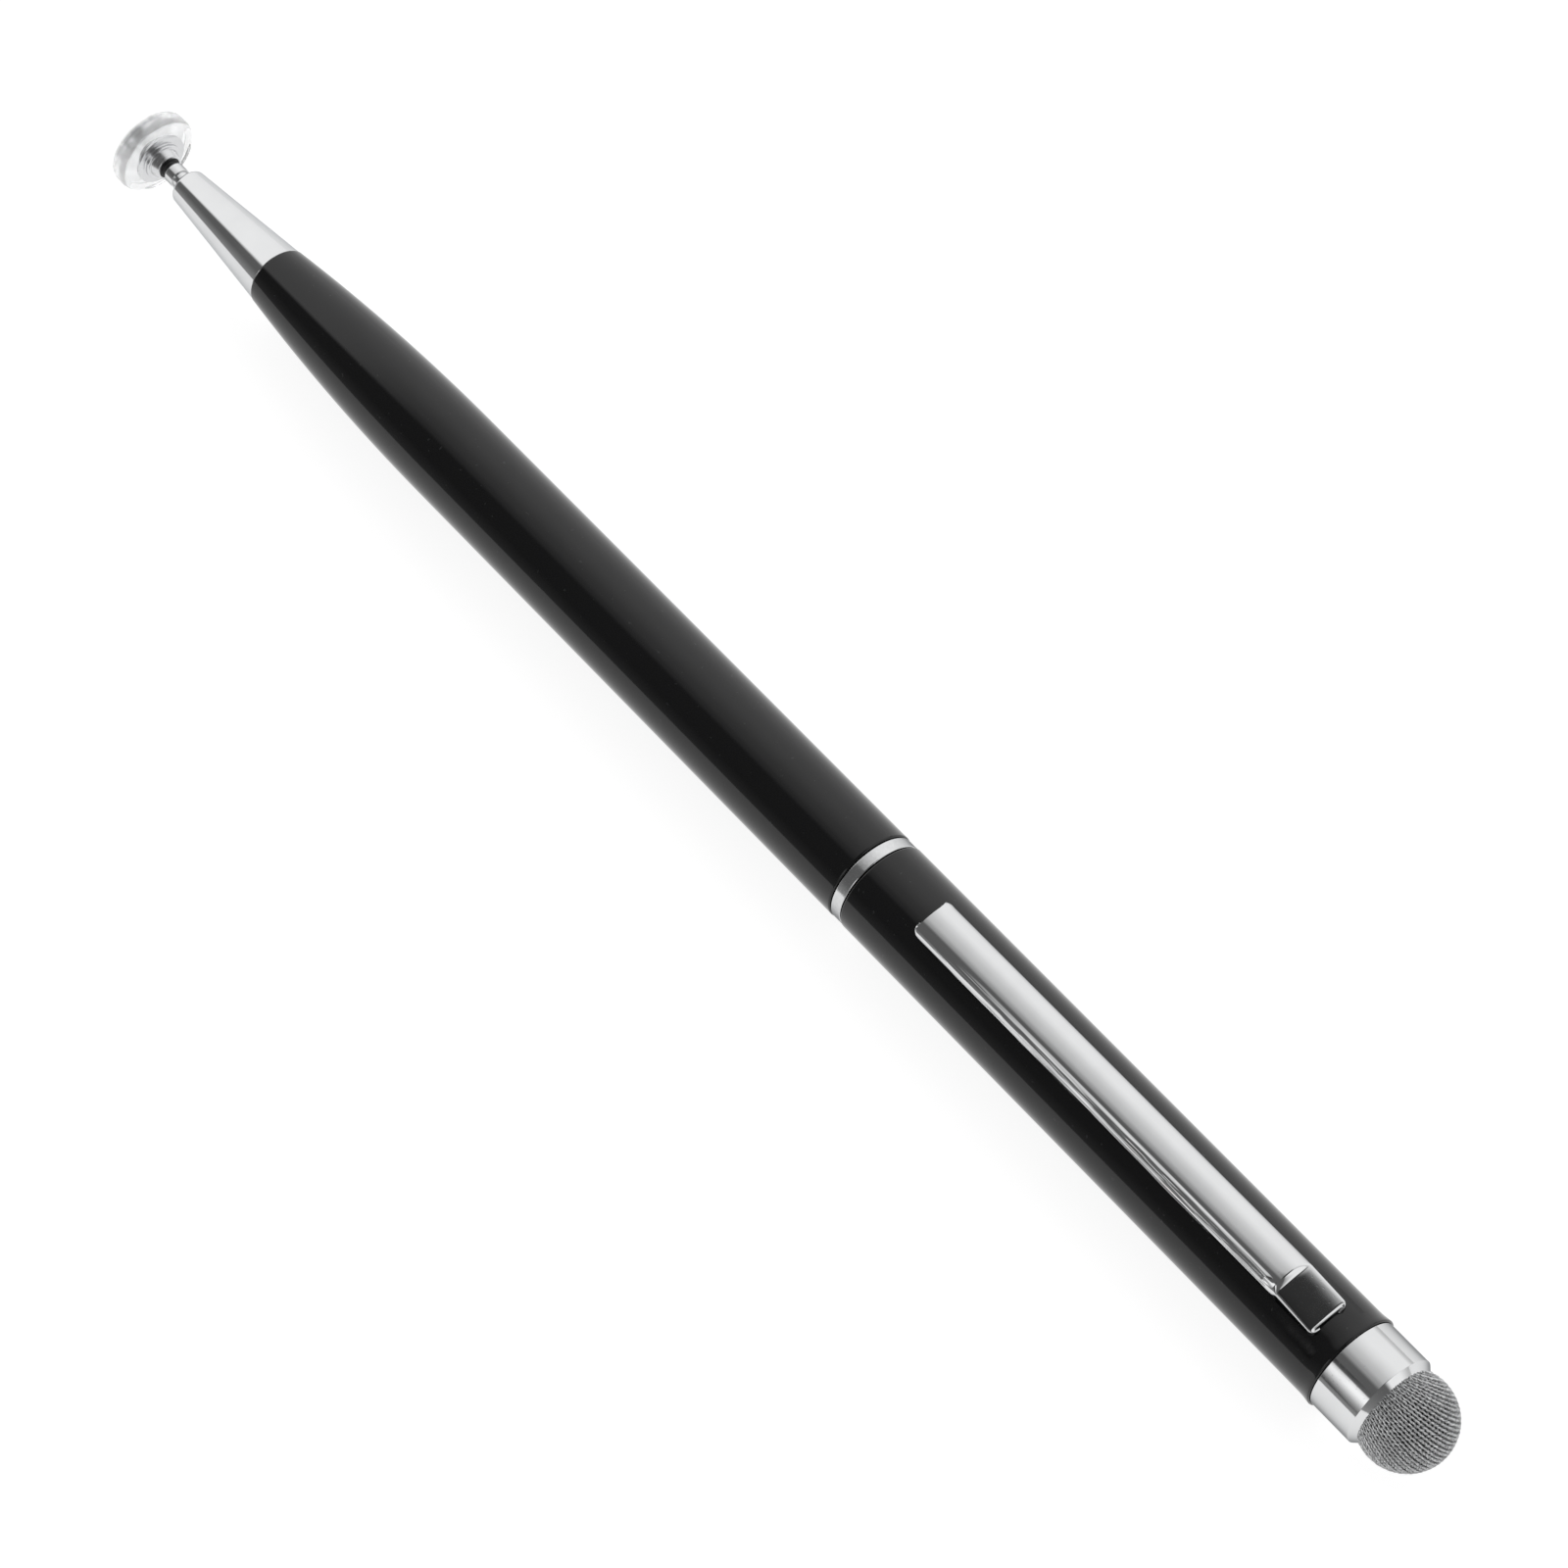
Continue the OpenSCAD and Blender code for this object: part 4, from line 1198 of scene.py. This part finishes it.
    def tube(self, knit, path, normals, points, faces, strands):
        """One length of yarn with closed ends."""
        sides, first, count = self.yarn_sides, len(points), len(path)
        ahead = np.gradient(path, axis=0)
        ahead /= np.linalg.norm(ahead, axis=1)[:, None]
        beside = np.cross(ahead, normals)
        beside /= np.linalg.norm(beside, axis=1)[:, None]
        above = np.cross(beside, ahead)
        travel = np.concatenate([[0], np.cumsum(np.linalg.norm(np.diff(path, axis=0), axis=1))])
        for k in range(count):
            for s in range(sides):
                turn = 2 * math.pi * s / sides
                out = math.cos(turn) * above[k] + math.sin(turn) * beside[k]
                points.append(path[k] + knit.yarn_r * out)
                strands.append((travel[k] / knit.yarn_r, s / sides * 4))
        for k in range(count - 1):
            a, b = first + k * sides, first + (k + 1) * sides
            faces += [[a + s, a + (s + 1) % sides, b + (s + 1) % sides, b + s] for s in range(sides)]
        faces.append([first + s for s in range(sides)][::-1])
        faces.append([first + (count - 1) * sides + s for s in range(sides)])


def runs(inside):
    """Start and end of each unbroken run of true values."""
    edges = np.flatnonzero(np.diff(np.concatenate([[0], inside.astype(int), [0]])))
    return list(zip(edges[::2], edges[1::2]))


class STYLUS_OT_inner_pieces(StylusOperator, bpy.types.Operator):
    """Finishes of the bushes and the plug, whose solids stay as they are"""

    bl_idname = "stylus.inner_pieces"
    bl_label = "Inner pieces"

    finishes = {"front_bush": "turned_brass", "upper_bush": "turned_brass", "tail_bush": "turned_brass",
                "tip_plug": "satin_hub"}

    def make(self, scene):
        dressed = []
        for node, finish in self.finishes.items():
            solid = frame["nodes"][node]
            for socket in solid.material_slots:
                socket.material = bpy.data.materials[finish]
            dressed.append(solid)
        return dressed


# Stage

# Brightness by height or by distance from the slanting edge of the light dome, and across the strip lamp
BRIGHT_SIDE = ((0.0, 0.36), (0.14, 0.44), (0.26, 0.64), (0.43, 0.76), (0.53, 0.88), (0.69, 1.05),
               (0.8, 1.13))
DIM_SIDE = ((0.0, 0.34), (0.12, 0.27), (0.28, 0.2), (0.42, 0.135))
LOW_SKY = ((0.0, 0.58), (0.1, 0.68), (0.25, 1.0))
STRIP_PROFILE = ((-1.0, 0.2), (-0.675, 0.36), (-0.41, 0.6), (-0.17, 0.96), (0.075, 1.29), (0.31, 1.37),
                 (0.55, 1.1), (0.63, 0.3), (0.7, 0.15))

# Directions on the light dome, and the ranges over which its parts fade into one another
EDGE_SIDE = (0, 0.9348, 0.1098)
EDGE_SLANT_FRONT, EDGE_SLANT_TAIL = 0.3375, 0.2
EDGE_FADE = (-0.05, 0.1)
CAMERA_SIDE = (0.25, -0.05, 0.967)
CAMERA_FADE = (0.857, 0.9135)
FRONT_FADE = (0.52, 0.66)
TAIL_FADE = (-0.75, -0.6)
FERRULE_FADE = (0.286, 0.298)


class STYLUS_OT_stage(StylusOperator, bpy.types.Operator):
    """Pale floor, light dome, world and camera"""

    bl_idname = "stylus.stage"
    bl_label = "Stage"

    dome_around = 32
    dome_up = 8
    sensor_width = 36
    clip_start = 10 * MM

    def make(self, scene):
        stage = scene.stylus_stage
        made = [self.floor(stage), self.dome(stage), self.strip(stage)]
        self.world(scene)
        self.camera(scene, stage)
        scene.view_settings.view_transform = "Standard"
        return made

    def sheet(self, name, points, faces, material):
        """A stage mesh with one material."""
        mesh = bpy.data.meshes.new(name)
        mesh.from_pydata(points, [], faces)
        mesh.materials.append(material)
        made = bpy.data.objects.new(name, mesh)
        bpy.context.scene.collection.objects.link(made)
        return made

    def floor(self, stage):
        """Wide floor that shows as white where no shadow falls."""
        half = stage.floor_half
        corners = [(-half, -half, 0), (half, -half, 0), (half, half, 0), (-half, half, 0)]
        nodes = Nodes("pale_floor")
        nodes.tree.nodes.clear()
        path = nodes.add("ShaderNodeLightPath").outputs
        sent_on = nodes.maths("MAXIMUM", path["Is Glossy Ray"], path["Is Transmission Ray"])
        seen = nodes.maths("MAXIMUM", path["Is Camera Ray"], sent_on)
        matt = nodes.add("ShaderNodeBsdfDiffuse", Color=(*[stage.floor_white] * 3, 1))
        glow = nodes.add("ShaderNodeEmission", Strength=nodes.maths("MULTIPLY", seen, stage.floor_lift))
        both = nodes.add("ShaderNodeAddShader")
        nodes.feed(both.inputs[0], matt.outputs[0])
        nodes.feed(both.inputs[1], glow.outputs[0])
        nodes.add("ShaderNodeOutputMaterial", Surface=both.outputs[0])
        nodes.material.cycles.emission_sampling = "NONE"
        return self.sheet("floor", corners, [[0, 1, 2, 3]], nodes.material)

    def dome(self, stage):
        """Half sphere of light, bright on one side of the pen and dim on the other."""
        radius, around, up = stage.dome_radius, self.dome_around, self.dome_up
        points = [(0, 0, radius)]
        for i in range(1, up + 1):
            tilt = math.pi / 2 * i / up
            for j in range(around):
                turn = 2 * math.pi * j / around
                points.append((radius * math.sin(tilt) * math.cos(turn),
                               radius * math.sin(tilt) * math.sin(turn),
                               radius * math.cos(tilt)))
        faces = [[0, 1 + (j + 1) % around, 1 + j] for j in range(around)]
        for i in range(up - 1):
            a, b = 1 + i * around, 1 + (i + 1) * around
            faces += [[a + j, a + (j + 1) % around, b + (j + 1) % around, b + j] for j in range(around)]
        dome = self.sheet("light_dome", points, faces, self.dome_light(stage))
        dome.visible_camera = False
        return dome

    def dome_light(self, stage):
        """A bright half behind a slanting edge, dimmed round the camera and low down; a dim other half."""
        nodes = Nodes("light_dome")
        nodes.tree.nodes.clear()
        place = nodes.add("ShaderNodeTexCoord").outputs["Object"]
        ray = nodes.add("ShaderNodeVectorMath", {"operation": "NORMALIZE"}, Vector=place).outputs["Vector"]
        height = nodes.dot(ray, (0, 0, 1))
        forward = nodes.dot(ray, (-1, 0, 0))
        slant = nodes.maths("MAXIMUM", nodes.maths("MULTIPLY", forward, EDGE_SLANT_FRONT),
                            nodes.maths("MULTIPLY", forward, EDGE_SLANT_TAIL))
        edge = nodes.maths("ADD", nodes.dot(ray, EDGE_SIDE), slant)
        bright = self.curve(nodes, edge, BRIGHT_SIDE)
        front = nodes.ramp(forward, *FRONT_FADE, 0, 1, "SMOOTHSTEP")
        tail = nodes.ramp(forward, *TAIL_FADE, 1, 0, "SMOOTHSTEP")
        bright = nodes.blend(nodes.maths("MAXIMUM", front, tail), bright, stage.front_light)
        shaded = nodes.ramp(nodes.dot(ray, CAMERA_SIDE), *CAMERA_FADE, 1, stage.camera_shade, "SMOOTHSTEP")
        at_ferrule = nodes.ramp(forward, *FERRULE_FADE, 1, 0, "SMOOTHSTEP")
        low_sky = nodes.blend(at_ferrule, 1.0, self.curve(nodes, height, LOW_SKY))
        bright = nodes.maths("MULTIPLY", nodes.maths("MULTIPLY", bright, shaded), low_sky)
        dim = self.curve(nodes, height, DIM_SIDE)
        side = nodes.ramp(edge, *EDGE_FADE, 0, 1, "SMOOTHSTEP")
        self.lit(nodes, nodes.blend(side, dim, bright))
        nodes.material.cycles.emission_sampling = "NONE"
        return nodes.material

    def curve(self, nodes, value, stops):
        """A brightness that follows (value, brightness) stops and is held at both ends."""
        top = max(brightness for _, brightness in stops)
        first, last = stops[0][0], stops[-1][0]
        ramp = nodes.add("ShaderNodeValToRGB", Fac=nodes.ramp(value, first, last, 0, 1))
        marks = ramp.color_ramp.elements
        while len(marks) < len(stops):
            marks.new(0.5)
        for mark, (at, brightness) in zip(marks, stops):
            mark.position = (at - first) / (last - first)
            mark.color = (brightness / top, brightness / top, brightness / top, 1)
        return nodes.maths("MULTIPLY", ramp.outputs["Color"], top)

    def lit(self, nodes, light):
        """Ends a lamp's nodes in an emission of that strength."""
        glow = nodes.add("ShaderNodeEmission", Strength=light)
        nodes.add("ShaderNodeOutputMaterial", Surface=glow.outputs[0])

    def strip(self, stage):
        """Long soft strip lamp on the dim side, which the tail and the rims catch."""
        out = Vector((0, math.sin(stage.strip_turn), math.cos(stage.strip_turn)))
        across = Vector((0, out.z, -out.y))
        centre = Vector((0, 0, AXIS_Z)) + out * stage.strip_distance
        near, far = stage.strip_near, stage.strip_far
        half = across * stage.strip_half
        corners = [centre + Vector((x, 0, 0)) + side for x, side in
                   ((near, -half), (far, -half), (far, half), (near, half))]
        nodes = Nodes("strip_lamp")
        nodes.tree.nodes.clear()
        place = nodes.add("ShaderNodeTexCoord").outputs["Object"]
        start = nodes.ramp(nodes.dot(place, (1, 0, 0)), near, near + stage.strip_fade, 0, 1, "SMOOTHSTEP")
        offset = nodes.maths("SUBTRACT", nodes.dot(place, across), centre.dot(across))
        profile = self.curve(nodes, nodes.maths("DIVIDE", offset, stage.strip_half), STRIP_PROFILE)
        profile = nodes.maths("MULTIPLY", profile, stage.strip_light)
        self.lit(nodes, nodes.maths("MULTIPLY", start, profile))
        lamp = self.sheet("strip_lamp", corners, [[0, 1, 2, 3]], nodes.material)
        lamp.visible_camera = False
        return lamp

    def world(self, scene):
        """Plain white beyond the floor."""
        world = bpy.data.worlds.new("white_world")
        world.use_nodes = True
        world.node_tree.nodes["Background"].inputs["Color"].default_value = (1, 1, 1, 1)
        scene.world = world

    def look(self, stage):
        """Unit vectors from the pen to the camera, to the picture's right and to its top."""
        level_part = math.cos(stage.elevation)
        back = Vector((math.sin(stage.azimuth) * level_part, -math.cos(stage.azimuth) * level_part,
                       math.sin(stage.elevation)))
        right = Vector((0, 0, 1)).cross(back).normalized()
        up = back.cross(right)
        turned_right = right * math.cos(stage.roll) + up * math.sin(stage.roll)
        turned_up = up * math.cos(stage.roll) - right * math.sin(stage.roll)
        return back, turned_right, turned_up

    def camera(self, scene, stage):
        """Camera at the photograph's angle."""
        back, right, up = self.look(stage)
        data = bpy.data.cameras.new("photo_camera")
        data.lens = stage.lens
        data.sensor_width = self.sensor_width
        data.clip_start = self.clip_start
        camera = bpy.data.objects.new("photo_camera", data)
        scene.collection.objects.link(camera)
        axes = Matrix((right, up, back)).transposed().to_4x4()
        camera.matrix_world = Matrix.Translation(Vector(stage.aim) + back * stage.distance) @ axes
        scene.camera = camera


class STYLUS_PT_pieces(bpy.types.Panel):
    """Lists the operators of the stylus in the order in which they run"""

    bl_idname = "STYLUS_PT_pieces"
    bl_label = "Capacitive stylus"
    bl_space_type = "VIEW_3D"
    bl_region_type = "UI"
    bl_category = "Stylus"

    def draw(self, context):
        for operator in OPERATORS:
            self.layout.operator(operator.bl_idname)


GROUPS = {
    "stylus_turned": TurnedSizes,
    "stylus_clip": ClipSizes,
    "stylus_knit": KnitSizes,
    "stylus_colours": StylusColours,
    "stylus_stage": StageValues,
}
OPERATORS = (
    STYLUS_OT_stage,
    STYLUS_OT_contact_disc,
    STYLUS_OT_ball_joint,
    STYLUS_OT_nose_cone,
    STYLUS_OT_barrels,
    STYLUS_OT_centre_joint,
    STYLUS_OT_pocket_clip,
    STYLUS_OT_tail_ferrule,
    STYLUS_OT_fibre_tip,
    STYLUS_OT_inner_pieces,
)
CLASSES = (*GROUPS.values(), *OPERATORS, STYLUS_PT_pieces)


def register():
    """Registers the classes and puts the settings on the scene."""
    for cls in CLASSES:
        bpy.utils.register_class(cls)
    for name, group in GROUPS.items():
        setattr(bpy.types.Scene, name, PointerProperty(type=group))


def unregister():
    """Takes the settings off the scene and the classes out again."""
    for name in GROUPS:
        delattr(bpy.types.Scene, name)
    for cls in reversed(CLASSES):
        bpy.utils.unregister_class(cls)


def main():
    """Makes the stage and every piece."""
    register()
    bpy.ops.stylus.stage()
    bpy.ops.stylus.contact_disc()
    bpy.ops.stylus.ball_joint()
    bpy.ops.stylus.nose_cone()
    bpy.ops.stylus.barrels()
    bpy.ops.stylus.centre_joint()
    bpy.ops.stylus.pocket_clip()
    bpy.ops.stylus.tail_ferrule()
    bpy.ops.stylus.fibre_tip()
    bpy.ops.stylus.inner_pieces()


if __name__ == "__main__":
    main()
